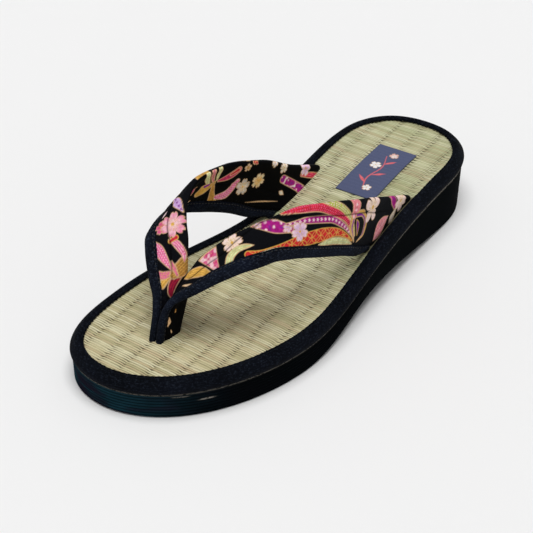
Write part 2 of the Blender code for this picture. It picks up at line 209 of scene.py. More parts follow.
def hermite(t, first, last, slope_first, slope_last):
    """Curve from first to last as t goes from 0 to 1, with a slope at each end."""
    start = (2 * t**3 - 3 * t**2 + 1) * first + (t**3 - 2 * t**2 + t) * slope_first
    return start + (3 * t**2 - 2 * t**3) * last + (t**3 - t**2) * slope_last


def closed_spline(points, per_span):
    """Smooth closed curve through points, as per_span points for each span."""
    count = len(points)
    ahead = np.roll(points, -1, axis=0)
    behind = np.roll(points, 1, axis=0)
    chord = np.linalg.norm(ahead - points, axis=1)
    before = np.roll(chord, 1)
    system = np.zeros((count, count))
    for i in range(count):
        system[i, i - 1] = chord[i]
        system[i, i] = 2.0 * (chord[i] + before[i])
        system[i, (i + 1) % count] = before[i]
    slopes_in = (points - behind) / before[:, None]
    slopes_out = (ahead - points) / chord[:, None]
    right = 3.0 * (chord[:, None] * slopes_in + before[:, None] * slopes_out)
    slope = np.linalg.solve(system, right)
    leaving, arriving = chord[:, None] * slope, chord[:, None] * np.roll(slope, -1, axis=0)
    turns = np.arange(per_span) / per_span
    curve = [hermite(t, points, ahead, leaving, arriving) for t in turns]
    return np.stack(curve, axis=1).reshape(-1, 2)


def total_from_zero(steps):
    return np.concatenate([[0.0], np.cumsum(steps)])


def run_along(points):
    """How far along a line of points each one lies."""
    return total_from_zero(np.linalg.norm(np.diff(points, axis=0), axis=1))


OUTLINE_SPAN = 120  # points from one row of the outline to the next


def outline_sides():
    """Dense outer and inner sides of the outline, each from the toe tip to the heel back."""
    rows = np.array([row[1:] for row in OUTLINE], float)
    points = np.column_stack([rows[:, 1] * WIDTH, y_at(rows[:, 0])])
    curve = closed_spline(points, OUTLINE_SPAN)
    curve = np.roll(curve, -int(curve[:, 1].argmin()), axis=0)
    heel = int(curve[:, 1].argmax())
    return curve[: heel + 1], np.vstack([curve[:1], curve[heel:][::-1]])


OUTER_SIDE, INNER_SIDE = outline_sides()


def edge_x(y, side):
    line = OUTER_SIDE if side > 0 else INNER_SIDE
    return np.interp(y, line[:, 1], line[:, 0])


def outline_ring(half):
    """2 * half outline points, closer together at toe and heel, and their outward normals."""
    turns = np.linspace(0.0, np.pi, half + 1)
    toe, heel = OUTER_SIDE[0, 1], OUTER_SIDE[-1, 1]
    y = toe + (heel - toe) * 0.5 * (1.0 - np.cos(turns))
    outer = np.column_stack([edge_x(y, 1), y])
    inner = np.column_stack([edge_x(y, -1), y])[1:-1][::-1]
    points = np.vstack([outer, inner])
    tangent = np.roll(points, -1, axis=0) - np.roll(points, 1, axis=0)
    tangent /= np.linalg.norm(tangent, axis=1)[:, None]
    return points, np.column_stack([tangent[:, 1], -tangent[:, 0]])


RING, RING_NORMAL = outline_ring(HALF_RING)
RING_RUN = run_along(RING)


def ring_at(inset, height):
    """Outline ring moved in by inset, at height(y). inset may differ from point to point."""
    inset = np.broadcast_to(np.asarray(inset, float), len(RING))
    flat = RING - RING_NORMAL * inset[:, None]
    return np.column_stack([flat, height(flat[:, 1])])


def grid_faces(rows, columns, close_rows=False, close_columns=True):
    """Quads of a grid of points, row by row."""
    i = np.arange(rows if close_rows else rows - 1)[:, None]
    j = np.arange(columns if close_columns else columns - 1)[None, :]
    here = i * columns
    there = (i + 1) % rows * columns
    after = (j + 1) % columns
    quads = np.stack([here + j, here + after, there + after, there + j], axis=-1)
    return quads.reshape(-1, 4)


def tube_faces(rings, around, first=0):
    """Faces of a tube of rings, with both its ends closed."""
    faces = list(map(tuple, grid_faces(rings, around) + first))
    for end in (first, first + (rings - 1) * around):
        faces.append(tuple(range(end, end + around)))
    return faces


def pair_cap(first, size):
    """Faces across an outline ring, between points at the same place on its two sides."""
    half = size // 2
    faces = [(first, first + 1, first + size - 1)]
    for i in range(1, half - 1):
        faces.append((first + i, first + i + 1, first + size - i - 1, first + size - i))
    faces.append((first + half - 1, first + half, first + half + 1))
    return faces


def new_piece(name, points, faces, material, slot, *nodes):
    """Mesh piece from millimetre points. It rides on the sandal and stands for the named nodes."""
    mesh = bpy.data.meshes.new(name)
    mesh.from_pydata((np.asarray(points) * MM).tolist(), [], [tuple(int(i) for i in f) for f in faces])
    mesh.validate()
    mesh.materials.append(material)
    mesh.polygons.foreach_set("use_smooth", [True] * len(mesh.polygons))
    piece = bpy.data.objects.new(name, mesh)
    bpy.context.scene.collection.objects.link(piece)
    turn_outward(mesh)
    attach(piece, "root")
    if nodes:
        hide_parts(*nodes)
    return piece


def turn_outward(mesh):
    """Flips every face where the closed mesh was wound inside out."""
    points = np.empty(len(mesh.vertices) * 3)
    mesh.vertices.foreach_get("co", points)
    points = points.reshape(-1, 3)
    mesh.calc_loop_triangles()
    corners = np.empty(len(mesh.loop_triangles) * 3, np.int32)
    mesh.loop_triangles.foreach_get("vertices", corners)
    a, b, c = (points[corners.reshape(-1, 3)[:, i]] for i in range(3))
    if np.einsum("ij,ij->i", a, np.cross(b, c)).sum() < 0.0:
        mesh.flip_normals()


def point_values(piece, name, values):
    """Stores one number for each point, for the material to read."""
    layer = piece.data.attributes.new(name, "FLOAT", "POINT")
    layer.data.foreach_set("value", np.asarray(values, np.float32))


def point_colours(piece, name, colours):
    layer = piece.data.attributes.new(name, "FLOAT_COLOR", "POINT")
    rgba = np.column_stack([colours, np.ones(len(colours))])
    layer.data.foreach_set("color", rgba.astype(np.float32).ravel())


NOISE_CELLS = 64


def value_noise(x, y, scale, salt):
    """Soft random values from 0 to 1 over a plane, scale millimetres apart."""
    table = np.random.default_rng(SEED + abs(salt)).random((NOISE_CELLS, NOISE_CELLS))
    gx, gy = np.asarray(x) / scale, np.asarray(y) / scale
    ix, iy = np.floor(gx).astype(int), np.floor(gy).astype(int)
    fx, fy = smooth(gx - ix, 0, 1), smooth(gy - iy, 0, 1)
    left, right = ix % NOISE_CELLS, (ix + 1) % NOISE_CELLS
    near, far = iy % NOISE_CELLS, (iy + 1) % NOISE_CELLS
    near = table[left, near] * (1 - fx) + table[right, near] * fx
    far = table[left, far] * (1 - fx) + table[right, far] * fx
    return near * (1 - fy) + far * fy


# Strap


def middle_x(y):
    slot_y = y_at(SLOT_ALONG)
    slot_x = 0.5 * (edge_x(slot_y, 1) + edge_x(slot_y, -1))
    return np.interp(y, (y_at(POST_ALONG), slot_y), (POST_ACROSS * WIDTH, slot_x))


def strap_point(along, out, up, side, higher):
    y = y_at(along)
    if out is None:
        x = edge_x(y, side) - side * STRAP_INSET
    else:
        x = middle_x(y) + side * out * STRAP_SPAN
    rise = -ENTRY if up is None else (up + higher) * STRAP_RISE
    return np.array([x, y, footbed_top(y) + rise])


def edge_bow(front_y, rear_y, side):
    """How far the outline bows outward between two places on one side, in shares of their distance."""
    straight = 0.5 * (edge_x(front_y, side) + edge_x(rear_y, side))
    return side * (edge_x(0.5 * (front_y + rear_y), side) - straight) / (rear_y - front_y)


def strap_rows(side):
    """For each row of the table: front point, rear point, thickness, tape width and crown."""
    rows = []
    for row in STRAP:
        here = dict(zip(STRAP_COLUMNS, row))
        front_higher = here["inner_front"] if side < 0 else 0.0
        rear_higher = here["inner_rear"] if side < 0 else 0.0
        front = strap_point(here["front_along"], here["front_out"], here["front_up"], side, front_higher)
        rear = strap_point(here["rear_along"], here["rear_out"], here["rear_up"], side, rear_higher)
        crown = here["crown"]
        if here["front_out"] is None:
            crown += edge_bow(front[1], rear[1], side)
        sizes = [here["thick"] * STRAP_THICK, here["tape"] * BIND_WIDTH, crown]
        rows.append(np.concatenate([front, rear, sizes]))
    return np.array(rows)


def along_rows(rows, at):
    """Smooth values between rows for every at, counted in rows, that never overshoot a row."""
    step = np.diff(rows, axis=0)
    product = step[:-1] * step[1:]
    total = step[:-1] + step[1:]
    inside = np.where(product > 0, 2.0 * product / np.where(total == 0, 1.0, total), 0.0)
    slopes = np.vstack([step[:1], inside, step[-1:]])
    i = np.minimum(at.astype(int), len(rows) - 2)
    return hermite((at - i)[:, None], rows[i], rows[i + 1], slopes[i], slopes[i + 1])


BAND_SAMPLES = 3000  # places at which a band's length is measured
LOOK = 0.2  # a band's direction is taken from so many rows of its table behind to as many ahead


class Band:
    """One side of the strap: its sections step millimetres apart along its middle."""

    def __init__(self, side, step):
        rows = strap_rows(side)
        last = len(rows) - 1.0
        fine = np.linspace(0.0, last, BAND_SAMPLES)
        here = along_rows(rows, fine)
        middle = 0.5 * (here[:, 0:3] + here[:, 3:6])
        run = run_along(middle)
        self.side = side
        self.run = np.linspace(0.0, run[-1], int(run[-1] / step) + 2)
        at = np.interp(self.run, run, fine)
        here = along_rows(rows, at)
        ahead = along_rows(rows, np.minimum(at + LOOK, last))
        behind = along_rows(rows, np.maximum(at - LOOK, 0.0))
        self.front = here[:, 0:3]
        travel = 0.5 * (ahead[:, 0:3] + ahead[:, 3:6] - behind[:, 0:3] - behind[:, 3:6])
        self.width = np.linalg.norm(here[:, 3:6] - self.front, axis=1)
        self.across = (here[:, 3:6] - self.front) / self.width[:, None]
        normal = np.cross(travel, self.across) * side
        self.normal = normal / np.linalg.norm(normal, axis=1)[:, None]
        self.thick, self.seam, self.crown = here[:, 6], here[:, 7], here[:, 8]
        # the band unrolled flat, as its cloth was cut: where each section starts and how far it has turned
        onward = np.cross(self.across, self.normal) * side
        self.turn = total_from_zero((np.diff(self.across, axis=0) * onward[:-1]).sum(axis=1))
        leg = np.diff(self.front, axis=0)
        ahead_leg = (leg * onward[:-1]).sum(axis=1)
        across_leg = (leg * self.across[:-1]).sum(axis=1)
        sine, cosine = np.sin(self.turn[:-1]), np.cos(self.turn[:-1])
        self.flat_u = total_from_zero(ahead_leg * cosine + across_leg * sine)
        self.flat_v = total_from_zero(across_leg * cosine - ahead_leg * sine)

    def chart(self, run, behind):
        """Where a place on the band lies in its flat cut, so that a motif keeps its true shape."""
        turn = np.interp(run, self.run, self.turn)
        u = np.interp(run, self.run, self.flat_u) + behind * np.sin(turn)
        v = np.interp(run, self.run, self.flat_v) + behind * np.cos(turn)
        return u, v

    def place(self, behind, offset):
        """Points at a distance behind the front edge and an offset from the band's middle surface."""
        share = np.clip(behind / self.width[:, None], 0.0, 1.0)
        bow = self.crown[:, None] * self.width[:, None] * 4.0 * share * (1.0 - share)
        lift = (bow + offset)[..., None] * self.normal[:, None, :]
        return self.front[:, None, :] + self.across[:, None, :] * behind[..., None] + lift


def keep_side(points, side, clearance):
    """Flattens what would cross the strap's middle plane, where the two bands are sewn together."""
    middle = middle_x(points[..., 1])
    out = np.maximum((points[..., 0] - middle) * side, clearance)
    points = points.copy()
    points[..., 0] = middle + side * out
    return points


# Materials

MIX = {"data_type": "RGBA"}
TIMES = {"operation": "MULTIPLY"}
MIXED = 2  # number of a colour mix's output


def new_material(name):
    material = bpy.data.materials.new(name)
    material.use_nodes = True
    return material, material.node_tree, material.node_tree.nodes["Principled BSDF"]


def add(tree, kind, settings=None, out=0, **inputs):
    """Adds a node and gives one of its outputs, by number or name. settings are its properties.

    Inputs go to sockets by name, or n0, n1 by number. A colour may be an RGB triple.
    """
    made = tree.nodes.new(kind)
    for name, value in (settings or {}).items():
        setattr(made, name, value)
    for name, value in inputs.items():
        socket = made.inputs[int(name[1:]) if name[1:].isdigit() else name]
        if isinstance(value, bpy.types.NodeSocket):
            tree.links.new(value, socket)
        else:
            socket.default_value = (*value, 1.0) if socket.type == "RGBA" else value
    return made.outputs[out]


def grain(tree, per_mm, detail=2.0, rough=0.5):
    """Random grain in the object's own millimetres, with so many grains in each along X, Y and Z."""
    place = add(tree, "ShaderNodeTexCoord", out="Object")
    vector = add(tree, "ShaderNodeVectorMath", TIMES, n0=place, n1=tuple(count / MM for count in per_mm))
    return add(
        tree, "ShaderNodeTexNoise", out="Fac", Vector=vector, Scale=1.0, Detail=detail, Roughness=rough
    )


def layered(tree, base, *layers):
    """Lays colours over a base in turn. A layer is where it shows, how strongly, and its colour."""
    for where, share, colour in layers:
        factor = add(tree, "ShaderNodeMath", TIMES, n0=where, n1=share)
        base = add(tree, "ShaderNodeMix", MIX, MIXED, n0=factor, n6=base, n7=colour)
    return base


def finish_surface(tree, shader, colour, relief, **values):
    """Links the colour and the relief to the shader, and sets its own sockets."""
    tree.links.new(colour, shader.inputs["Base Color"])
    tree.links.new(relief, shader.inputs["Normal"])
    for name, value in values.items():
        shader.inputs[name.replace("_", " ")].default_value = value


def eva_foam(colour, worn):
    """EVA foam, moulded, closed skin: almost black, faintly grained and scuffed, with a painted highlight and
    dust along the wall's top edge and painted light on the toe wall.
    """
    material, tree, shader = new_material("eva_foam")
    # rub holds the scuffs and a painted highlight with dust along the wall's top edge, both in the pale worn
    # colour
    rub = add(tree, "ShaderNodeAttribute", {"attribute_name": "rub"}, "Fac")
    broken = add(tree, "ShaderNodeMapRange", n0=grain(tree, (0.9, 0.9, 3.0), 3.0, 0.6), n1=0.36, n2=0.52)
    # painted light: the toe wall is painted lighter, in teal patches and plum ones, fading out toward the
    # outer side, and lighter on the rib crests than in the grooves
    toe = add(tree, "ShaderNodeAttribute", {"attribute_name": "toe_cast_and_light"}, "Fac")
    teal = add(tree, "ShaderNodeMath", TIMES, n0=grain(tree, (0.06, 0.06, 0.1)), n1=1.5)
    plum = add(tree, "ShaderNodeMapRange", n0=grain(tree, (0.045, 0.045, 0.16)), n1=0.47, n2=0.60)
    tint = layered(
        tree,
        colour,
        (grain(tree, (0.03, 0.03, 0.06), 3.0), 0.5, linear("#0e0c12")),
        (teal, toe, linear("#16323c")),
        (plum, toe, linear("#1a1522")),
        (rub, broken, worn),
    )
    skin = grain(tree, (2.4, 2.4, 2.4), 3.0, 0.6)
    relief = add(tree, "ShaderNodeBump", Height=skin, Strength=0.5, Distance=0.12 * MM)
    finish_surface(tree, shader, tint, relief, Roughness=0.62, IOR=1.5, Specular_IOR_Level=0.003)
    return material


def woven_rush(pale, green, tan, dark):
    """Dried rush, woven flat: satin straw with green and tan stems, dark where stems dive at a warp."""
    material, tree, shader = new_material("woven_rush")
    stem, gap, yellowed = (
        add(tree, "ShaderNodeAttribute", {"attribute_name": name}, "Fac") for name in ("stem", "gap", "warm")
    )
    age = add(tree, "ShaderNodeMapRange", n0=grain(tree, (0.035, 0.05, 0.05), 3.0), n1=0.35, n2=0.68)
    # each stem drew a number from 0 to 1: the lowest are pale, the middle ones dull, the highest tan
    palest = add(tree, "ShaderNodeMapRange", n0=stem, n1=0.0, n2=0.35, n3=1.0, n4=0.0)
    duller = add(tree, "ShaderNodeMapRange", n0=stem, n1=0.42, n2=0.5)
    brighter = add(tree, "ShaderNodeMapRange", n0=stem, n1=0.58, n2=0.66, n3=1.0, n4=0.0)
    dull = add(tree, "ShaderNodeMath", TIMES, n0=duller, n1=brighter)
    tanned = add(tree, "ShaderNodeMapRange", n0=stem, n1=0.72, n2=0.95)
    fibre = grain(tree, (0.12, 3.2, 1.0), 3.0, 0.6)
    streak = add(tree, "ShaderNodeMapRange", n0=fibre, n1=0.38, n2=0.66)
    tint = layered(
        tree,
        green,
        (age, 1.0, pale),
        (yellowed, 0.55, linear("#dccaa2")),
        (tanned, 0.45, tan),
        (palest, 0.6, linear("#e4e0be")),
        (dull, 0.4, linear("#948d60")),
        (streak, 0.42, linear("#8d835a")),
        # gap: dark lines between stems and at the warps, and painted shade in the crevice beside the strap's
        # ends
        (gap, 1.0, dark),
    )
    relief = add(tree, "ShaderNodeBump", Height=fibre, Strength=0.6, Distance=0.10 * MM)
    finish_surface(tree, shader, tint, relief, Roughness=0.58, IOR=1.45, Specular_IOR_Level=0.4)
    return material


def tape_cloth(name, colour, light, thread_mm, rub):
    """Polyester tape, plain woven and rolled over an edge: navy black, matt, with a thread grain."""
    material, tree, shader = new_material(name)
    cast = add(tree, "ShaderNodeMapRange", n0=grain(tree, (0.05, 0.05, 0.05), 3.0), n1=0.4, n2=0.7)
    # paler threads where the weave has rubbed, drawn coarser than the real thread
    rubbed = add(tree, "ShaderNodeMapRange", n0=grain(tree, (0.9, 0.9, 2.4), 4.0, 0.75), n1=0.52, n2=0.70)
    tint = layered(
        tree,
        colour,
        (cast, 1.0, light),
        (grain(tree, (1.6, 1.6, 1.6), 3.0, 0.7), 0.35, linear("#07070a")),
        (rubbed, rub, linear("#4a5466")),
    )
    weave = grain(tree, 3 * (1.0 / thread_mm,), 2.0, 0.6)
    relief = add(tree, "ShaderNodeBump", Height=weave, Strength=0.55, Distance=0.10 * MM)
    finish_surface(
        tree, shader, tint, relief,
        Roughness=0.82, Specular_IOR_Level=0.02, Sheen_Weight=0.012, Sheen_Roughness=0.5,
    )
    return material


def printed_crepe():
    """Cotton crepe with a dyed print: matt ground, pebbled grain under the print, a little sheen."""
    material, tree, shader = new_material("printed_crepe")
    dye = add(tree, "ShaderNodeAttribute", {"attribute_name": "dye"}, "Color")
    faded = grain(tree, (1.1, 1.1, 1.1), 3.0, 0.6)
    worn = add(tree, "ShaderNodeMapRange", n0=faded, n1=0.3, n2=0.7, n3=0.82, n4=1.12)
    tint = add(tree, "ShaderNodeVectorMath", {"operation": "SCALE"}, n0=dye, Scale=worn)
    pebbles, threads = grain(tree, (1.5, 1.5, 1.5), 2.0, 0.6), grain(tree, (4.0, 4.0, 4.0), 1.0)
    relief = add(tree, "ShaderNodeBump", Height=pebbles, Strength=0.6, Distance=0.16 * MM)
    relief = add(tree, "ShaderNodeBump", Height=threads, Strength=0.6, Distance=0.05 * MM, Normal=relief)
    finish_surface(
        tree, shader, tint, relief,
        Roughness=0.78, Specular_IOR_Level=0.04, Sheen_Weight=0.004, Sheen_Roughness=0.5,
    )
    return material


def label_cloth():
    """Satin label cloth, woven fine: slate, even, with a faint thread grid."""
    material, tree, shader = new_material("label_cloth")
    dye = add(tree, "ShaderNodeAttribute", {"attribute_name": "dye"}, "Color")
    speck = grain(tree, (3.0, 3.0, 3.0))
    level = add(tree, "ShaderNodeMapRange", n0=speck, n1=0.3, n2=0.7, n3=0.9, n4=1.08)
    tint = add(tree, "ShaderNodeVectorMath", {"operation": "SCALE"}, n0=dye, Scale=level)
    relief = add(tree, "ShaderNodeBump", Height=speck, Strength=0.5, Distance=0.06 * MM)
    finish_surface(tree, shader, tint, relief, Roughness=0.7, Specular_IOR_Level=0.3)
    return material


def sewing_thread(colour):
    """Spun polyester thread: dark, slightly glossy beads along a seam."""
    material, tree, shader = new_material("sewing_thread")
    ply = grain(tree, (3.0, 3.0, 3.0), 1.0)
    tint = layered(tree, colour, (ply, 1.0, linear("#14151b")))
    relief = add(tree, "ShaderNodeBump", Height=ply, Strength=0.5, Distance=0.05 * MM)
    finish_surface(tree, shader, tint, relief, Roughness=0.6)
    return material


# Sole

SOLE_FLAT = 6.0  # from the lower corner to the innermost ring of the underside
CORNER_STEPS = 7
RIB_STEPS = 7  # rings to a rib
RIB_SHARPNESS = 0.7
CREST, CREST_START = 0.3, 0.965  # how far the wall's top edge turns in, from which share of the wall
EDGE_HIGHLIGHT_START, EDGE_HIGHLIGHT_END = 0.955, 0.99  # shares of the wall, where a paler line runs along its top edge: a painted highlight, with dust
TOE_LIGHT_START, TOE_LIGHT_END = 0.02, 0.30
SCUFF_FLATNESS = 0.10
# Scuffs on the toe wall: share of the length, share of the width, height and reach
SCUFFS = (
    (0.056, 0.177, 10.8, 4.5),
    (0.089, 0.260, 8.2, 4.5),
)


def make_sole(sizes):
    """Foam wedge: a rounded lower corner, a wall ribbed round the forefoot, and a rabbet under the tape."""
    along = along_at(RING[:, 1])
    lean = HEEL_LEAN * smooth(along, LEAN_START, 1.0)
    corner = FLOOR_ROUND + HEEL_ROUND * smooth(along, LEAN_START, 1.0)
    ribbed = 1.0 - smooth(along, RIB_FADE_START, RIB_FADE_END)
    rings, edge_dust_and_highlight, rib_crest_light = [], [], []

    def put(inset, height, rise=0.0, rub=0.0, wave=1.0):
        ring = ring_at(inset, height)
        ring[:, 2] += rise
        rings.append(ring)
        edge_dust_and_highlight.append(np.full(len(RING), rub))
        rib_crest_light.append(np.full(len(RING), wave))

    for share in (0.0, 0.5):
        put(SOLE_INSET + lean + corner + SOLE_FLAT * (1.0 - share), sole_bottom)
    for turn in np.linspace(0.0, 1.0, CORNER_STEPS)[:-1]:
        angle = turn * np.pi / 2.0
        put(SOLE_INSET + lean + corner * (1.0 - np.sin(angle)), sole_bottom, corner * (1.0 - np.cos(angle)))
    foot = sole_bottom(RING[:, 1]) + corner
    wall = footbed_top(RING[:, 1]) - SOLE_TOP_DROP - foot
    steps = sizes.rib_count * RIB_STEPS
    for i in range(steps + 1):
        share = i / steps
        wave = abs(np.sin(np.pi * share * sizes.rib_count)) ** RIB_SHARPNESS
        inset = SOLE_INSET + lean * (1.0 - share) + (1.0 - wave) * sizes.rib_depth / MM * ribbed
        inset = inset + CREST * smooth(share, CREST_START, 1.0)
        # the wall's top edge gets a painted highlight, with dust
        put(inset, sole_bottom, rub=float(smooth(share, EDGE_HIGHLIGHT_START, EDGE_HIGHLIGHT_END)), wave=wave)
        rings[-1][:, 2] = foot + wall * share
    # the top ring keeps a half-strength painted highlight with dust
    for inset, drop, rub in (
        (SOLE_INSET + 0.75, SOLE_TOP_DROP, 0.5),
        (BOARD_INSET, SOLE_TOP_DROP, 0.0),
        (BOARD_INSET, BOARD_THICK + GAP, 0.0),
    ):
        put(inset, lambda y, drop=drop: footbed_top(y) - drop, rub=rub)
    points = np.vstack(rings)
    size = len(RING)
    faces = list(map(tuple, grid_faces(len(rings), size)))
    faces += pair_cap(0, size) + pair_cap((len(rings) - 1) * size, size)
    # the pale colour is for the scuffs and for the painted highlight along the wall's top edge
    material = eva_foam(tuple(sizes.foam_colour), linear("#8a857c"))
    piece = new_piece("foam_sole", points, faces, material, "sole_foam", "sole")
    # the painted highlight with dust along the top edge, then the scuffs over it
    rub = np.concatenate(edge_dust_and_highlight)
    for place, across, up, reach in SCUFFS:
        spot = np.array([across * WIDTH, y_at(place)])
        away = np.linalg.norm(points[:, :2] - spot, axis=1) / reach
        level = (points[:, 2] - up) / (SCUFF_FLATNESS * reach)
        rub = np.maximum(rub, 1.1 * np.clip(1.0 - away**2 - level**2, 0.0, 1.0))
    point_values(piece, "rub", rub)
    # painted light on the toe wall: lighter toward the toe and the inner side, and lighter on the rib crests
    # than in the grooves
    toe = 1.0 - smooth(along_at(points[:, 1]), TOE_LIGHT_START, TOE_LIGHT_END)
    toe = toe * smooth(-points[:, 0], -34.0, 10.0)
    point_values(piece, "toe_cast_and_light", toe * (0.35 + 0.9 * np.concatenate(rib_crest_light) ** 2))
    return piece


# Footbed

STEM_ROWS = 5.0  # rows of points to a stem
STEM_HEIGHT, STEM_ROUNDNESS, STEM_UNEVEN = 0.36, 0.6, 0.18
SLANT, WANDER, WANDER_PITCH = 0.05, 0.8, 26.0
DIVE, DIVE_HALF = 0.40, 0.95  # how deep a stem dives under a warp, and how far from it
SAG, SAG_HALF = 0.12, 2.6
SHALLOW_DIVE = 0.35  # share of the dive at every other warp
RIM_RAMP = 0.5
SQUEEZE = 0.01  # least distance between columns of points at the rim
DRAW_COLUMNS, DRAW_STEMS = 97, 1021  # the random table repeats after so many columns and stems


def beside_slot(y):
    """1 beside the slots that take the strap's rear ends, 0 away from them."""
    front, rear = y_at(STRAP[-1][1]), y_at(STRAP[-1][4])
    return smooth(y, front - 2.0, front + 1.0) * (1.0 - smooth(y, rear - 1.0, rear + 2.0))


def make_footbed(sizes):
    """Woven rush over the board: stems across the foot, pinched at every warp."""
    pitch = sizes.stem_pitch / MM
    warp = sizes.warp_pitch / MM
    y = np.arange(RING[:, 1].min() + BOARD_INSET + 0.02, RING[:, 1].max() - BOARD_INSET, pitch / STEM_ROWS)
    flat = RING - RING_NORMAL * BOARD_INSET
    half = len(flat) // 2
    outer, inner = flat[: half + 1], np.vstack([flat[:1], flat[half:][::-1]])
    x_outer = np.interp(y, outer[:, 1], outer[:, 0])
    x_inner = np.interp(y, inner[:, 1], inner[:, 0])
    # columns of points keep to the warps, closest where the stems dive under them
    lines = np.arange(-5, 6)[:, None] * warp + np.array(WARP_OFFSETS)[None, :]
    lines = np.sort(lines.ravel() + WARP_ORIGIN)
    lines = lines[(lines > x_inner.min() - 2.0) & (lines < x_outer.max() + 2.0)]
    rank = np.arange(len(lines))
    x = np.maximum(lines[None, :], x_inner[:, None] + SQUEEZE * rank)
    x = np.minimum(x, x_outer[:, None] - SQUEEZE * rank[::-1])
    across = (x_outer - x_inner)[:, None]
    share = (x - x_inner[:, None]) / across
    from_rim = np.minimum(share, 1.0 - share) * across
    y = np.repeat(y[:, None], x.shape[1], axis=1)
    turn = (x - WARP_ORIGIN) / warp
    column = np.floor(turn).astype(int)
    away = np.abs(turn - np.round(turn)) * warp
    seam = np.round(turn).astype(int)
    # stems run a little slanted, and wander
    slant = SLANT * x + WANDER * value_noise(x, y, WANDER_PITCH, 1)
    row = (y + slant) / pitch
    ridge = np.abs(np.sin(np.pi * row))
    stem_id = np.floor(row).astype(int)
    draw = np.random.default_rng(SEED).random((DRAW_COLUMNS, DRAW_STEMS))
    # a stem keeps its colour over two or three columns
    kept = (column + (stem_id * 5) % 3) // 3
    stem = draw[kept % DRAW_COLUMNS, stem_id % DRAW_STEMS]
    rise = draw[(column * 7 + 3) % DRAW_COLUMNS, (stem_id * 3 + 5) % DRAW_STEMS]
    pinch = np.exp(-((away / DIVE_HALF) ** 2))
    body = np.exp(-((away / SAG_HALF) ** 2))
    deep = np.where((stem_id + seam) % 2 == 0, 1.0, SHALLOW_DIVE)
    height = STEM_HEIGHT * ridge**STEM_ROUNDNESS - STEM_HEIGHT + STEM_UNEVEN * (rise - 0.5)
    height = height - DIVE * pinch * deep - SAG * body
    z = footbed_top(y) - 0.05 + np.minimum(height, 0.0) * smooth(from_rim, 0.0, RIM_RAMP)
    top = np.stack([x, y, z], axis=-1)
    rows, columns = x.shape
    bottom = top[:, [0, -1]].copy()
    bottom[..., 2] = footbed_top(bottom[..., 1]) - BOARD_THICK
    points = np.vstack([top.reshape(-1, 3), bottom.reshape(-1, 3)])
    faces = list(map(tuple, grid_faces(rows, columns, close_columns=False)))
    first = rows * columns
    for i in range(rows - 1):
        left, right = i * columns, i * columns + columns - 1
        low, high = first + 2 * i, first + 2 * i + 2
        faces.append((left, left + columns, high, low))
        faces.append((right + columns, right, low + 1, high + 1))
        faces.append((low, high, high + 1, low + 1))
    faces.append(tuple(range(columns)) + (first + 1, first))
    last = (rows - 1) * columns
    low = first + 2 * rows - 2
    faces.append(tuple(range(last + columns - 1, last - 1, -1)) + (low, low + 1))
    material = woven_rush(tuple(sizes.pale), tuple(sizes.green), tuple(sizes.tan), linear("#463c22"))
    piece = new_piece("woven_footbed", points, faces, material, "woven_rush", "tatami_insole")
    strength = value_noise(x, y, 9.0, 2)
    crack = (1.0 - smooth(ridge, 0.12, 0.66)) * (0.46 + 0.90 * strength * (rise > 0.35))
    notch = pinch * deep * (1.0 - smooth(ridge, 0.25, 0.75)) * (0.55 + 0.45 * strength)
    gap = np.clip(crack * (0.62 + 0.95 * body) + 0.95 * notch, 0.0, 0.95)
    # painted shade: the rush in the crevice between the strap's ends and the tape is painted dark
    from_tape = from_rim + BOARD_INSET - TAPE_WIDTH
    gap = np.maximum(gap, 0.93 * beside_slot(y) * (1.0 - smooth(from_tape, 1.0, 2.2)))
    under = np.zeros(2 * rows)
    point_values(piece, "gap", np.concatenate([gap.ravel(), under]))
    point_values(piece, "stem", np.concatenate([stem.ravel(), under + 0.5]))
    # the toe end has yellowed more than the heel
    warm = 1.0 - smooth(along_at(y), 0.12, 0.62)
    point_values(piece, "warm", np.concatenate([warm.ravel(), under]))
    return piece


# Edge tape

PUFF, PUFF_PITCH = 0.12, 7.0
SCALLOP = 0.42  # how far each stitch pulls the lip back
HUG = 0.3  # how far the lip is pressed toward the strap's rear ends
STITCH_DENT = 0.14


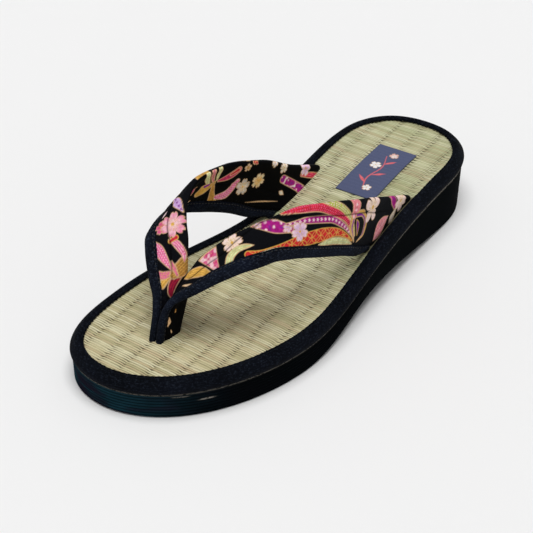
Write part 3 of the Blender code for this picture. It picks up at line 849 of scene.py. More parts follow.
def make_edge_tape(sizes):
    """Tape rolled over the rim: a stitched lip on the rush, a round edge and a wall down to the foam."""
    section = (
        ("lip underside", TAPE_WIDTH - 0.5, GAP),
        ("lip edge, low", TAPE_WIDTH - 0.15, 0.35),
        ("lip edge", TAPE_WIDTH, 0.60),
        ("lip edge, high", TAPE_WIDTH - 0.15, 0.85),
        ("lip round", 0.93 * TAPE_WIDTH, 0.98 * TAPE_PROUD),
        ("stitch bed, inner", 0.86 * TAPE_WIDTH, 0.98 * TAPE_PROUD),
        ("stitch bed", 0.80 * TAPE_WIDTH, 0.86 * TAPE_PROUD),
        ("stitch bed, outer", 0.74 * TAPE_WIDTH, 0.98 * TAPE_PROUD),
        ("top, inner", 0.66 * TAPE_WIDTH, 1.03 * TAPE_PROUD),
        ("top", 0.55 * TAPE_WIDTH, 0.98 * TAPE_PROUD),
        ("top, middle", 0.45 * TAPE_WIDTH, 0.84 * TAPE_PROUD),
        ("top, outer", 0.34 * TAPE_WIDTH, 0.55 * TAPE_PROUD),
        ("roll, first", 0.24 * TAPE_WIDTH, 0.12 * TAPE_PROUD),
        ("roll, high", 0.16 * TAPE_WIDTH, -0.08 * TAPE_DROP),
        ("roll, second", 0.09 * TAPE_WIDTH, -0.17 * TAPE_DROP),
        ("roll", 0.045 * TAPE_WIDTH, -0.27 * TAPE_DROP),
        ("outside, high", 0.012 * TAPE_WIDTH, -0.37 * TAPE_DROP),
        ("outside", 0.0, -0.48 * TAPE_DROP),
        ("outside, low", 0.01 * TAPE_WIDTH, -0.62 * TAPE_DROP),
        ("roll, low", 0.035 * TAPE_WIDTH, -0.77 * TAPE_DROP),
        ("foot, outer", 0.10 * TAPE_WIDTH, -0.93 * TAPE_DROP),
        ("foot", 0.19 * TAPE_WIDTH, -TAPE_DROP),
        ("foot, inner", BOARD_INSET - GAP, -TAPE_DROP),
        ("inner corner", BOARD_INSET - GAP, GAP),
    )
    pitch = sizes.stitch_pitch / MM
    count = round(RING_RUN[-1] / pitch)
    scallop = 0.5 + 0.5 * np.cos(2.0 * np.pi * RING_RUN / RING_RUN[-1] * count)
    # where the strap's ends go down beside it, the lip is pressed against them
    hug = beside_slot(RING[:, 1])
    rings = []
    for name, inset, rise in section:
        lip = 1.0 if name.startswith("lip edge") else 0.5 if name == "lip round" else 0.0
        puff = PUFF * (value_noise(RING_RUN, rise + 0.0 * RING_RUN, PUFF_PITCH, 3) - 0.5)
        moved = inset - lip * SCALLOP * scallop * (1.0 - hug) + lip * HUG * hug - puff * (lip > 0.0)
        ring = ring_at(moved, lambda y, rise=rise: footbed_top(y) + rise)
        if name.startswith("stitch bed"):
            ring[:, 2] -= STITCH_DENT * scallop
        rings.append(ring)
    points = np.vstack(rings)
    faces = grid_faces(len(rings), len(RING), close_rows=True)
    material = tape_cloth("edge_tape_cloth", tuple(sizes.tape_colour), linear("#0b0e16"), 0.45, 0.22)
    return new_piece("edge_tape", points, faces, material, "edge_tape", "edge_binding")


# Strap bands and their print


class Cloth:
    """The printed side of a band, where motifs are laid down one over another."""

    def __init__(self, run, behind, ground, chart=lambda run, behind: (run, behind)):
        self.chart = chart
        self.u, self.v = chart(run.ravel(), behind.ravel())
        self.colour = np.tile(np.array(ground), (self.u.size, 1))

    def around(self, run, behind, reach):
        """Points near a motif's middle, and how far they lie from it along the cloth and across."""
        u, v = self.chart(run, behind)
        at = np.flatnonzero((np.abs(self.u - u) < reach) & (np.abs(self.v - v) < reach))
        return at, self.u[at] - u, self.v[at] - v

    def lay(self, index, cover, colour):
        cover = np.clip(cover, 0.0, 1.0)[:, None]
        self.colour[index] = self.colour[index] * (1.0 - cover) + np.asarray(colour) * cover


SOFT = 0.28  # millimetres over which one dye gives way to the next
TRIM = 0.35  # width of the line round a motif
DOT_PITCH, DOT_ROW, DOT_RADIUS = 1.15, 1.0, 0.3
RING_PITCH, RING_LINE = 5.4, 0.19
BARB_PITCH, BARB_SLOPE, VEIN_HALF = 1.1, 0.9, 0.22
STRIPE_PITCH = 0.9
BLOT_PITCH = 1.5
FLOWER_PITCH = 2.4
FAN_BORDER = 1.0

INK = {
    "pink": linear("#dc6a96"),
    "rose": linear("#c2406f"),
    "pale": linear("#f0d0d2"),
    "cream": linear("#ecd8bf"),
    "gold": linear("#d8a850"),
    "ochre": linear("#a8793c"),
    "lilac": linear("#c9a4d4"),
    "purple": linear("#7d2a8c"),
    "magenta": linear("#a01f78"),
    "red": linear("#c62a3c"),
    "crimson": linear("#8f1d3a"),
    "scarlet": linear("#c92c30"),
    "salmon": linear("#dc8088"),
    "green": linear("#abb24e"),
    "mint": linear("#c6cf9c"),
    "grey": linear("#a9a6a8"),
    "beige": linear("#d2ac82"),
    "coral": linear("#d2636a"),
    "white": linear("#e6e6ea"),
}


def blossom(cloth, run, behind, radius, turn, petal, heart, petals=5, slim=False):
    """Cherry or plum blossom: notched petals with a pale rim, a dark heart and stamens."""
    at, du, dv = cloth.around(run, behind, radius * 1.2)
    reach = np.hypot(du, dv)
    angle = np.arctan2(dv, du) + np.radians(turn)
    wedge = np.abs((angle * petals / (2.0 * np.pi)) % 1.0 - 0.5) * 2.0
    notch = 0.0 if slim else 0.13 * np.clip(1.0 - 4.5 * wedge, 0.0, 1.0)
    waist = 0.62 * wedge**1.9 if slim else 0.42 * wedge**2.6
    rim = radius * (1.0 - waist - notch)
    cloth.lay(at, (rim - reach) / SOFT, INK["beige"])
    cloud = value_noise(cloth.u[at], cloth.v[at], 1.1, int(run))
    tone = np.clip(reach / radius * 0.9 + 0.5 * (cloud - 0.5), 0.0, 1.0)[:, None]
    inner = np.asarray(INK[heart]) * (1.0 - tone) + np.asarray(INK[petal]) * tone
    cloth.lay(at, (rim - TRIM - reach) / SOFT, inner)
    vein = np.clip(wedge - 0.86, 0.0, 1.0) * 6.0 * (reach > 0.2 * radius)
    cloth.lay(at, vein * np.clip((rim - reach) / SOFT, 0.0, 1.0), INK["beige"])
    spoke = np.abs((angle * petals * 2 / (2.0 * np.pi)) % 1.0 - 0.5) * 2.0 < 0.22
    cloth.lay(at, spoke * (reach < 0.48 * radius) * (rim > reach) * 0.7, INK["gold"])
    cloth.lay(at, (0.15 * radius - reach) / SOFT, INK["gold"])


def path_distance(cloth, path):
    """Points near a bent line, how far off and along it they lie, its half width there, and which side."""
    path = np.array(path, float)
    path[:, 0], path[:, 1] = cloth.chart(path[:, 0], path[:, 1])
    rows = np.linspace(0.0, len(path) - 1.0, 12 * (len(path) - 1) + 1)
    line = along_rows(path, rows) if len(path) > 2 else path
    reach = path[:, 2].max() + 0.6
    low, high = line[:, :2].min(axis=0) - reach, line[:, :2].max(axis=0) + reach
    here = (cloth.u > low[0]) & (cloth.u < high[0]) & (cloth.v > low[1]) & (cloth.v < high[1])
    at = np.flatnonzero(here)
    spots = np.column_stack([cloth.u[at], cloth.v[at]])
    best = np.full(len(at), 1e9)
    gone = np.zeros(len(at))
    half = np.zeros(len(at))
    side = np.zeros(len(at))
    run = 0.0
    for a, b in zip(line[:-1], line[1:]):
        leg = b[:2] - a[:2]
        length = float(np.linalg.norm(leg)) + 1e-9
        share = np.clip((spots - a[:2]) @ leg / length**2, 0.0, 1.0)
        offset = spots - (a[:2] + share[:, None] * leg)
        gap = np.linalg.norm(offset, axis=1)
        closer = gap < best
        best[closer] = gap[closer]
        gone[closer] = run + share[closer] * length
        half[closer] = a[2] + share[closer] * (b[2] - a[2])
        side[closer] = (leg[0] * offset[closer, 1] - leg[1] * offset[closer, 0]) / length
        run += length
    return at, best, gone, half, side


def ribbon(cloth, path, ink, pattern="plain", second="pale", trim="beige"):
    """Ribbon, leaf or feather along a bent line. path rows are run, behind, half width."""
    at, away, gone, half, side = path_distance(cloth, path)
    cloth.lay(at, (half - away) / SOFT, INK[trim])
    inside = np.clip((half - TRIM - away) / SOFT, 0.0, 1.0)
    cloud = value_noise(cloth.u[at], cloth.v[at], 1.0, int(path[0][0]) + 3)[:, None]
    body = np.asarray(INK[ink]) * (0.75 + 0.5 * cloud)
    cloth.lay(at, inside, body)
    if pattern == "dots":
        row = np.floor(side / DOT_ROW)
        ds = (gone / DOT_PITCH + 0.5 * (row % 2)) % 1.0 - 0.5
        dv = side / DOT_ROW - row - 0.5
        cloth.lay(at, inside * np.clip((DOT_RADIUS - np.hypot(ds, dv)) * 6.0, 0.0, 1.0), INK[second])
    elif pattern == "rings":
        # interlocked rings, each as wide as the pattern's repeat
        for shift in (0.0, 0.5):
            ds = ((gone / RING_PITCH + shift) % 1.0 - 0.5) * RING_PITCH
            dv = ((side / RING_PITCH + shift) % 1.0 - 0.5) * RING_PITCH
            ring = 1.0 - np.abs(np.hypot(ds, dv) - 0.49 * RING_PITCH) / RING_LINE
            cloth.lay(at, inside * np.clip(ring * 1.6, 0.0, 1.0), INK[second])
    elif pattern == "vein":
        barb = np.abs((gone - BARB_SLOPE * np.abs(side)) / BARB_PITCH % 1.0 - 0.5) < 0.12
        cloth.lay(at, inside * barb * 0.5, INK[second])
        cloth.lay(at, inside * np.clip(1.0 - np.abs(side) / VEIN_HALF, 0.0, 1.0), INK[second])
    elif pattern == "stripes":
        line = np.abs((side / STRIPE_PITCH) % 1.0 - 0.5) < 0.14
        cloth.lay(at, inside * line * 0.8, INK[second])
    elif pattern == "blots":
        spot = value_noise(cloth.u[at] + 50.0, cloth.v[at], BLOT_PITCH, int(path[0][0]) + 9)
        cloth.lay(at, inside * np.clip(6.0 * spot - 4.2, 0.0, 1.0), INK[second])
        cloth.lay(at, inside * np.clip(6.0 * (1.0 - spot) - 3.9, 0.0, 1.0) * 0.8, INK["purple"])
    elif pattern == "flowers":
        ds = (gone / FLOWER_PITCH) % 1.0 - 0.5
        dv = side / FLOWER_PITCH
        petal = 0.30 + 0.10 * np.cos(5.0 * np.arctan2(dv, ds))
        cloth.lay(at, inside * np.clip((petal - np.hypot(ds, dv)) * 8.0, 0.0, 1.0), INK[second])


def fan(cloth, run, behind, radius, first, last, ink, second, ribs=5):
    """Open folding fan with a trimmed rim and ribs. It opens from one place on its edge to the other."""
    at, du, dv = cloth.around(run, behind, radius * 1.05)
    u, v = cloth.chart(run, behind)
    edges = [cloth.chart(*spot) for spot in (first, last)]
    start, end = (np.arctan2(edge[1] - v, edge[0] - u) for edge in edges)
    spread = (start - end) % (2.0 * np.pi)
    reach = np.hypot(du, dv)
    angle = (start - np.arctan2(dv, du)) % (2.0 * np.pi)
    sideways = np.minimum(angle, spread - angle) * reach
    cover = np.minimum((radius - reach) / SOFT, sideways / SOFT)
    cloth.lay(at, cover, INK["beige"])
    inner = np.minimum((radius - FAN_BORDER - reach) / SOFT, (sideways - 0.3) / SOFT)
    cloud = value_noise(cloth.u[at], cloth.v[at], 1.3, int(run) + 11)[:, None]
    pale = value_noise(cloth.u[at] + 30.0, cloth.v[at], 1.6, int(run) + 12)
    tone = np.clip(1.6 * cloud - 0.3, 0.0, 1.0)
    cloth.lay(at, inner, np.asarray(INK[ink]) * tone + np.asarray(INK[second]) * (1.0 - tone))
    cloth.lay(at, np.clip(inner, 0.0, 1.0) * np.clip(5.0 * pale - 2.5, 0.0, 1.0) * 0.8, INK["pale"])
    rib = np.abs((angle / spread * ribs) % 1.0 - 0.5) > 0.5 - 0.25 / np.maximum(reach, 1.0)
    cloth.lay(at, rib * np.clip(inner, 0.0, 1.0) * 0.6, INK["beige"])


def scatter(cloth, start, end, salt):
    """Ribbons with blossoms at both ends, in loose order, where the photograph shows nothing."""
    draw = np.random.default_rng(SEED + salt)
    inks = (("pale", "pink"), ("pink", "rose"), ("cream", "gold"), ("gold", "ochre"), ("pale", "lilac"))
    sprays = (
        ("scarlet", "rings", "gold"),
        ("magenta", "blots", "pale"),
        ("mint", "stripes", "gold"),
        ("red", "dots", "pink"),
    )
    place = start
    turn = 0
    while place < end:
        # the band widens toward its rear
        low, high = 8.0 + 3.0 * draw.random(), 10.0 + 0.12 * place + 3.0 * draw.random()
        if turn % 2:
            low, high = high, low
        ink, pattern, second = sprays[turn % len(sprays)]
        middle = 0.5 * (low + high) + 3.0 * draw.random() - 1.5
        path = (
            (place - 10.0, low, 0.4),
            (place - 4.0, 0.4 * low + 0.6 * middle, 1.9),
            (place + 3.0, middle, 2.5),
            (place + 10.0, high, 0.6),
        )
        ribbon(cloth, path, ink, pattern, trim="gold", second=second)
        for along, behind, radius in ((place - 1.0, high, 3.4), (place + 5.0, low, 2.4)):
            petal, heart = inks[int(draw.integers(len(inks)))]
            blossom(cloth, along, behind, radius + 1.6 * draw.random(), 70.0 * draw.random(), petal, heart)
        place += 13.0 + 4.0 * draw.random()
        turn += 1


# Each motif is its function and what that takes, in the order of laying down. A path's points are
# run, behind, half width in millimetres on the unrolled band.

# Near band, side that faces out: fans and blossoms, then a bundle of festive ribbons.
OUTER_OUTSIDE = (
    (ribbon, ((28.8, 6.4, 0.3), (30.8, 5.6, 0.6), (33.0, 5.0, 0.4)), "cream"),
    (ribbon, ((25.0, 14.0, 1.0), (30.0, 11.0, 2.3), (36.5, 8.6, 2.6), (42.0, 4.6, 0.8)),
     "gold", "stripes", "ochre"),
    (fan, 45.4, 2.2, 13.8, (34.0, 15.6), (47.2, 15.2), "pink", "rose", 3),
    (blossom, 54.0, 13.6, 4.6, 20, "pale", "cream"),
    (ribbon, ((49.0, 4.0, 1.7), (51.5, 7.8, 1.8), (55.5, 9.9, 1.6), (59.0, 9.9, 1.2),
     (61.6, 9.4, 0.3)), "mint", "stripes", "gold"),
    (ribbon, ((62.2, 17.5, 0.3), (66.9, 16.1, 2.5), (70.9, 14.6, 3.1), (77.5, 13.2, 1.7)),
     "magenta", "blots"),
    (blossom, 64.6, 16.9, 1.8, 0, "pale", "lilac"),
    (blossom, 76.0, 13.6, 2.3, 30, "pale", "lilac"),
    (ribbon, ((76.0, 15.2, 0.8), (86.9, 17.0, 1.7), (98.4, 17.9, 1.9), (106.9, 15.7, 1.5),
     (118.5, 10.4, 0.5)), "magenta", "flowers"),
    (ribbon, ((74.5, 19.5, 0.6), (81.9, 21.4, 1.9), (90.9, 23.0, 2.6), (100.4, 21.2, 2.4),
     (107.9, 18.7, 1.8), (115.9, 13.1, 1.1), (121.0, 9.4, 0.4)), "red", "dots", "pink"),
    (ribbon, ((94.5, 25.0, 1.0), (101.9, 23.9, 1.8), (108.4, 21.0, 1.7), (113.2, 17.4, 1.1),
     (120.6, 10.6, 0.5)), "green", "stripes"),
    (ribbon, ((58.6, 6.2, 1.8), (63.9, 5.6, 1.2), (70.4, 5.3, 1.6), (76.9, 6.6, 2.3),
     (84.9, 8.6, 3.2), (93.9, 10.6, 3.4), (103.9, 12.2, 2.2), (111.9, 10.9, 1.3), (120.4, 8.2, 0.5)),
     "scarlet", "rings", "gold", "gold"),
    (ribbon, ((95.0, 6.4, 0.5), (99.5, 7.4, 1.6), (106.0, 8.2, 2.0), (114.0, 7.8, 1.7),
     (122.0, 6.6, 0.5)), "mint", "dots", "gold"),
    (ribbon, ((123.0, 7.6, 0.4), (114.8, 15.0, 0.9), (114.0, 19.6, 1.0), (119.0, 20.6, 1.0),
     (125.6, 17.2, 1.0), (128.6, 12.4, 0.9), (126.4, 7.8, 0.5)), "purple", "stripes", "ochre"),
    (ribbon, ((123.0, 7.6, 0.4), (113.2, 15.0, 0.9), (112.4, 21.2, 1.0), (119.0, 22.2, 1.0),
     (127.2, 17.2, 1.0), (130.2, 12.4, 0.9), (126.4, 7.8, 0.5)), "gold", "stripes", "ochre"),
    (ribbon, ((116.4, 18.2, 0.4), (119.0, 15.8, 1.4), (122.8, 11.0, 0.5)),
     "purple", "plain", "pale", "gold"),
    (blossom, 81.9, 12.2, 4.6, 50, "pale", "lilac"),
    (ribbon, ((111.6, 28.0, 2.9), (113.6, 24.2, 3.2), (113.6, 20.4, 2.2)), "salmon", "flowers"),
    (blossom, 127.4, 25.0, 8.2, 15, "pale", "cream", 5, True),
    (ribbon, ((153.4, 9.2, 0.6), (151.4, 12.8, 3.4), (149.6, 17.0, 5.2), (149.2, 20.8, 4.0),
     (149.6, 25.4, 0.6)), "salmon", "vein"),
    (ribbon, ((157.8, 22.6, 0.4), (155.8, 26.4, 2.8), (153.4, 30.6, 1.4)), "cream", "vein", "grey"),
    (ribbon, ((140.6, 37.4, 2.6), (144.6, 34.8, 2.8), (150.0, 32.4, 1.6)), "magenta", "blots", "pink"),
    (blossom, 151.6, 37.6, 6.0, 40, "pale", "cream"),
)

# Far band, side that faces out: a tied ribbon on the neck, a big blossom, then a loose scatter.
INNER_OUTSIDE = (
    (ribbon, ((20.0, 8.6, 0.4), (22.5, 8.4, 1.6), (25.5, 10.4, 1.8), (26.4, 14.2, 1.0)),
     "crimson", "stripes", "red"),
    (ribbon, ((27.2, 4.6, 1.6), (28.2, 7.4, 1.4), (28.6, 10.0, 0.8)), "gold", "stripes", "ochre"),
    (ribbon, ((31.4, 4.2, 2.3), (29.9, 7.4, 1.8), (29.4, 10.4, 1.1)), "pink", "stripes", "gold"),
    (ribbon, ((28.0, 10.8, 1.6), (28.6, 14.0, 2.9), (29.6, 17.4, 3.1)), "ochre", "stripes", "gold"),
    (ribbon, ((34.0, 11.6, 0.6), (31.0, 12.0, 1.3), (27.4, 12.6, 0.9)), "pink", "stripes", "gold"),
    (ribbon, ((43.6, 4.4, 2.0), (40.4, 6.6, 2.7), (34.9, 9.2, 1.7), (30.5, 10.8, 0.5)), "pink", "dots"),
    (ribbon, ((43.4, 12.4, 1.0), (39.9, 15.4, 1.9), (34.9, 17.4, 1.5), (31.0, 17.2, 0.5)),
     "pink", "stripes"),
    (ribbon, ((42.6, 12.2, 1.0), (43.6, 15.2, 1.3)), "red", "plain", "pale", "gold"),
    (blossom, 50.2, 9.2, 3.7, 30, "pink", "rose"),
    (blossom, 49.8, 14.6, 6.3, 8, "pink", "pale", 6),
    (ribbon, ((66.0, 10.8, 0.5), (59.9, 15.0, 2.5), (54.0, 18.9, 0.5)), "lilac", "flowers", "purple"),
    (ribbon, ((62.5, 5.0, 0.6), (65.5, 6.2, 1.0), (68.0, 8.0, 0.4)), "cream", "vein"),
    (ribbon, ((55.2, 8.4, 0.2), (56.6, 9.4, 0.5), (57.8, 10.4, 0.2)), "pale", "plain", "pale", "pale"),
    (scatter, 76.0, 146.0, 1),
)

# Far band, side that faces the foot.
INNER_INSIDE = (
    (ribbon, ((72.6, 8.3, 0.5), (74.0, 11.2, 1.4), (75.6, 14.4, 0.6)), "crimson", "vein", "pink"),
    (ribbon, ((73.6, 3.9, 0.5), (75.0, 5.2, 1.0), (77.2, 6.6, 0.4)), "grey", "vein"),
    (ribbon, ((84.6, 14.6, 1.1), (80.0, 18.9, 1.9), (78.4, 22.4, 1.4)), "mint", "stripes", "ochre"),
    (ribbon, ((86.4, 16.4, 1.0), (83.0, 21.0, 1.6), (82.4, 24.6, 1.3)), "rose", "stripes", "mint"),
    (ribbon, ((88.9, 17.0, 0.9), (87.4, 20.9, 1.6), (86.9, 24.6, 1.3)), "mint", "stripes", "ochre"),
    (ribbon, ((90.4, 16.2, 0.8), (94.9, 17.7, 1.7), (97.9, 19.9, 2.1), (99.8, 22.6, 1.9)),
     "rose", "stripes", "red"),
    (ribbon, ((97.0, 19.6, 0.9), (99.6, 22.4, 1.3)), "red"),
    (ribbon, ((88.0, 15.6, 1.1), (90.4, 9.8, 1.9), (93.4, 4.9, 3.1)), "ochre", "stripes", "gold"),
    (ribbon, ((79.6, 9.8, 1.7), (82.9, 12.2, 2.7), (87.6, 14.6, 1.1)), "gold", "stripes", "ochre"),
    (ribbon, ((82.6, 13.4, 0.7), (85.2, 14.4, 0.9)), "purple", "plain", "pale", "purple"),
    (ribbon, ((94.6, 7.7, 1.4), (99.9, 9.1, 2.2), (102.3, 12.3, 2.0), (103.6, 16.8, 1.5)),
     "pink", "dots"),
    (blossom, 109.3, 14.3, 4.6, 10, "grey", "cream"),
    (blossom, 116.8, 19.2, 4.3, 35, "cream", "gold", 6),
    (blossom, 104.3, 24.3, 2.3, 0, "cream", "ochre"),
    (blossom, 106.8, 28.4, 2.4, 20, "red", "crimson"),
    (blossom, 119.4, 30.2, 2.8, 50, "cream", "pale"),
    (blossom, 126.6, 30.4, 3.4, 5, "pale", "cream"),
    (ribbon, ((131.4, 25.2, 2.3), (140.6, 25.2, 2.4), (153.4, 27.4, 2.6)), "magenta", "blots"),
    (ribbon, ((136.0, 18.4, 0.3), (138.6, 18.0, 1.3), (141.6, 17.4, 0.4)), "cream", "vein"),
    (ribbon, ((118.0, 7.2, 0.2), (129.3, 10.4, 0.42), (142.0, 12.4, 0.2)), "beige"),
    (ribbon, ((142.0, 32.4, 1.2), (148.0, 35.6, 1.7), (153.0, 42.0, 1.2)), "red", "stripes", "pink"),
    (blossom, 141.0, 37.0, 4.6, 25, "pale", "lilac"),
)

# Near band, side that faces the foot. Its first part is the flank of the toe post.
OUTER_INSIDE = (
    (ribbon, ((17.2, 7.0, 0.3), (15.6, 7.2, 0.6)), "beige", "plain", "pale", "ochre"),
    (ribbon, ((14.2, 4.4, 0.3), (12.0, 4.8, 0.7), (9.8, 4.4, 0.4)), "beige", "stripes", "ochre"),
    (ribbon, ((7.0, 6.0, 0.3), (5.5, 6.6, 0.5)), "cream"),
    (scatter, 37.0, 146.0, 2),
)

# By side: the print that faces out and the one that faces the foot
PRINTS = {1: (OUTER_OUTSIDE, OUTER_INSIDE), -1: (INNER_OUTSIDE, INNER_INSIDE)}


def lay_print(cloth, motifs):
    """Lays motifs down in order, each over the ones before it."""
    for motif, *values in motifs:
        motif(cloth, *values)


WORDS = {1: "outer", -1: "inner"}
BAND_STEP = 0.34
ROLL, ROLL_STEPS = 0.62, 13  # depth of the round rear edge in shares of the thickness, and its steps
SEAM_RAMP = 2.2
CREASE_HALF, CREASE_SHADE_WIDTH = 0.75, 0.35
CREASE_STARTS, CREASE_ENDS = (20.0, 34.0), (136.0, 150.0)  # along the band, where the crease fades in and out
SOFTNESS, SOFT_PITCH = 0.35, 11.0
PUCKER, PUCKER_REACH, PUCKER_PITCH = 0.10, 1.5, 2.6
# The side that faces the foot gets painted light: its ground is painted darker, as in the strap's own shade,
# and its dyes are painted brighter
IN_GROUND_PAINTED_SHADE, IN_DYE_PAINTED_LIGHT = 0.25, 1.4
# Where the long crease of a band runs: share of its length, distance behind the front edge
CREASE = {
    1: ((0.0, 8.5), (0.20, 8.6), (0.26, 9.8), (0.30, 10.6), (0.38, 16.0), (0.41, 17.7), (0.51, 18.4),
        (0.66, 19.5), (0.82, 22.9), (1.0, 33.0)),
    -1: ((0.0, 7.0), (0.13, 8.0), (0.21, 11.4), (0.28, 12.2), (0.35, 11.6), (0.45, 13.0), (1.0, 18.0)),
}


def make_band(side, sizes):
    """Padded band with its print. The cloth wraps the rear edge and shows on both sides."""
    band = Band(side, BAND_STEP)
    width, seam, thick = band.width[:, None], band.seam[:, None], band.thick[:, None]
    run = band.run[:, None]
    share = np.linspace(0.0, 1.0, FACE_COUNT)[None, :]
    roll = ROLL * thick
    flat_end = width - roll
    behind = seam + (flat_end - seam) * share
    swell = SEAM_THICK / 2.0 + (thick / 2.0 - SEAM_THICK / 2.0) * smooth(behind - seam, 0.0, SEAM_RAMP)
    table = np.array(CREASE[side])
    crease_at = np.interp(run / run[-1], table[:, 0], table[:, 1])
    faded = smooth(run, *CREASE_STARTS) * (1.0 - smooth(run, *CREASE_ENDS))
    trough = sizes.crease_depth / MM * faded * np.exp(-(((behind - crease_at) / CREASE_HALF) ** 2))
    soft = SOFTNESS * (value_noise(run + 0 * behind, behind, SOFT_PITCH, 5 + side) - 0.5)
    pucker = PUCKER * np.sin(run * 2.0 * np.pi / PUCKER_PITCH)
    pucker = pucker * np.exp(-(((behind - seam) / PUCKER_REACH) ** 2))
    outside = swell - trough + soft * smooth(run, 24.0, 40.0) + pucker
    inside = -(swell - 0.6 * trough) + 0.25 * soft - pucker
    turn = np.linspace(0.0, np.pi, ROLL_STEPS)[None, 1:-1]
    round_behind = flat_end + roll * np.sin(turn)
    top, low = outside[:, -1:], inside[:, -1:]
    round_offset = 0.5 * (top + low) + 0.5 * (top - low) * np.cos(turn)
    behinds = np.concatenate([behind, round_behind, behind[:, ::-1]], axis=1)
    offsets = np.concatenate([outside, round_offset, inside[:, ::-1]], axis=1)
    points = keep_side(band.place(behinds, offsets), side, 0.02)
    rows, columns = behinds.shape
    faces = tube_faces(rows, columns)
    name, material = f"strap_band_{WORDS[side]}", bpy.data.materials["printed_crepe"]
    piece = new_piece(name, points.reshape(-1, 3), faces, material, "strap_cloth", "strap")
    run = np.repeat(run, columns, axis=1)
    is_out = np.arange(columns)[None, :] < FACE_COUNT + 6
    is_out = np.broadcast_to(is_out, run.shape).ravel()
    ground = tuple(sizes.ground)
    out_cloth = Cloth(run, behinds, ground, band.chart)
    in_cloth = Cloth(run, behinds, tuple(IN_GROUND_PAINTED_SHADE * shade for shade in ground), band.chart)
    for cloth, motifs in zip((out_cloth, in_cloth), PRINTS[side]):
        lay_print(cloth, motifs)
    # the side that faces the foot takes its painted-shade ground and its painted-brighter dyes
    colours = np.where(is_out[:, None], out_cloth.colour, np.minimum(IN_DYE_PAINTED_LIGHT * in_cloth.colour, 1.0))
    # painted shade along the long crease, on the side that faces out
    line = np.exp(-(((behinds - crease_at) / CREASE_SHADE_WIDTH) ** 2)) * faded * 0.75
    colours *= 1.0 - (line.ravel() * is_out)[:, None]
    point_colours(piece, "dye", colours)
    return piece


TAPE_STEP = 0.45
NOSE, NOSE_STEPS, TAPE_STEPS = 0.42, 8, 15
GROOVE_AT, GROOVE, GROOVE_HALF = 0.80, 0.22, 0.42
RIPPLE, RIPPLE_PITCH = 0.03, 2.0
TAPE_SOFTNESS, TAPE_SOFT_PITCH = 0.22, 8.0


def make_band_tape(side, sizes):
    """Rolled tape on the front edge of a band, with its row of stitches."""
    band = Band(side, TAPE_STEP)
    seam, run = band.seam[:, None], band.run[:, None]
    end = seam - GAP
    turn = np.linspace(0.0, np.pi / 2.0, NOSE_STEPS)[None, :]
    nose = NOSE * seam * (1.0 - np.cos(turn))
    nose_half = BIND_THICK / 2.0 * np.sin(turn) + 0.0 * seam
    rest = NOSE * seam + (end - NOSE * seam) * np.linspace(0.0, 1.0, TAPE_STEPS)[None, 1:]
    ease = smooth((rest - NOSE * seam) / (end - NOSE * seam), 0.25, 1.0)
    rest_half = BIND_THICK / 2.0 + (SEAM_THICK / 2.0 - BIND_THICK / 2.0) * ease
    groove = GROOVE * np.exp(-(((rest - GROOVE_AT * seam) / GROOVE_HALF) ** 2))
    behind = np.concatenate([nose, rest], axis=1)
    half = np.concatenate([nose_half, rest_half - groove], axis=1)
    moved = RIPPLE * np.sin(run * 2.0 * np.pi / RIPPLE_PITCH + behind) * smooth(behind, 0.6, 2.5)
    sag = TAPE_SOFTNESS * (value_noise(run + 0 * behind, behind, TAPE_SOFT_PITCH, 9 + side) - 0.5)
    moved = moved + sag * smooth(behind, 0.3, 2.0)
    behinds = np.concatenate([behind, behind[:, :0:-1]], axis=1)
    offsets = np.concatenate([moved + half, (moved - half)[:, :0:-1]], axis=1)
    points = keep_side(band.place(behinds, offsets), side, 0.12)
    rows, columns = behinds.shape
    faces = tube_faces(rows, columns)
    material, node = bpy.data.materials["strap_tape_cloth"], f"strap_binding_{WORDS[side]}"
    new_piece(f"strap_tape_{WORDS[side]}", points.reshape(-1, 3), faces, material, "strap_tape", node)
    make_stitches(band, side, sizes)


STITCH_LENGTH = 0.62  # share of the pitch
STITCH_AROUND, STITCH_RINGS = 6, 5
STITCH_HIGH, STITCH_WIDE, STITCH_SUNK = 0.20, 0.24, 0.12


def make_stitches(band, side, sizes):
    """Beads of thread in the groove of a tape, on both of its sides, from the post to the slot."""
    behind = GROOVE_AT * band.seam
    line = band.place(behind[:, None], 0.0 * behind[:, None])[:, 0]
    run = run_along(line)
    pitch = sizes.stitch_pitch / MM
    starts = np.arange(3.0, run[-1] - 2.5, pitch)
    around, rings = STITCH_AROUND, STITCH_RINGS
    half = BIND_THICK / 2.0 + (SEAM_THICK - BIND_THICK) / 2.0 * 0.55 - STITCH_SUNK
    points, faces = [], []
    for start in starts:
        for face in (1.0, -1.0):
            at = np.linspace(start, start + STITCH_LENGTH * pitch, rings)
            spots = np.column_stack([np.interp(at, run, line[:, i]) for i in range(3)])
            normal = np.array([np.interp(start, run, band.normal[:, i]) for i in range(3)])
            across = np.array([np.interp(start, run, band.across[:, i]) for i in range(3)])
            first = len(points)
            for k in range(rings):
                belly = np.sin(np.pi * (k + 0.35) / (rings - 0.3))
                for j in range(around):
                    angle = 2.0 * np.pi * j / around
                    out = normal * face * (half + STITCH_HIGH * belly * np.cos(angle))
                    points.append(spots[k] + out + across * STITCH_WIDE * belly * np.sin(angle))
            faces += tube_faces(rings, around, first)
    points = keep_side(np.array(points), side, 0.14)
    material = bpy.data.materials["sewing_thread"]
    new_piece(f"strap_stitches_{WORDS[side]}", points, faces, material, "strap_tape")


# Label

LABEL_ROWS, LABEL_COLUMNS = 176, 84
LABEL_RIPPLE, LABEL_RIPPLE_PITCH = 0.10, 6.0
LABEL_WAVE, LABEL_WAVE_PITCH = 0.05, 2.45
LABEL_EDGE_DROP, LABEL_EDGE_REACH = 0.25, 0.7
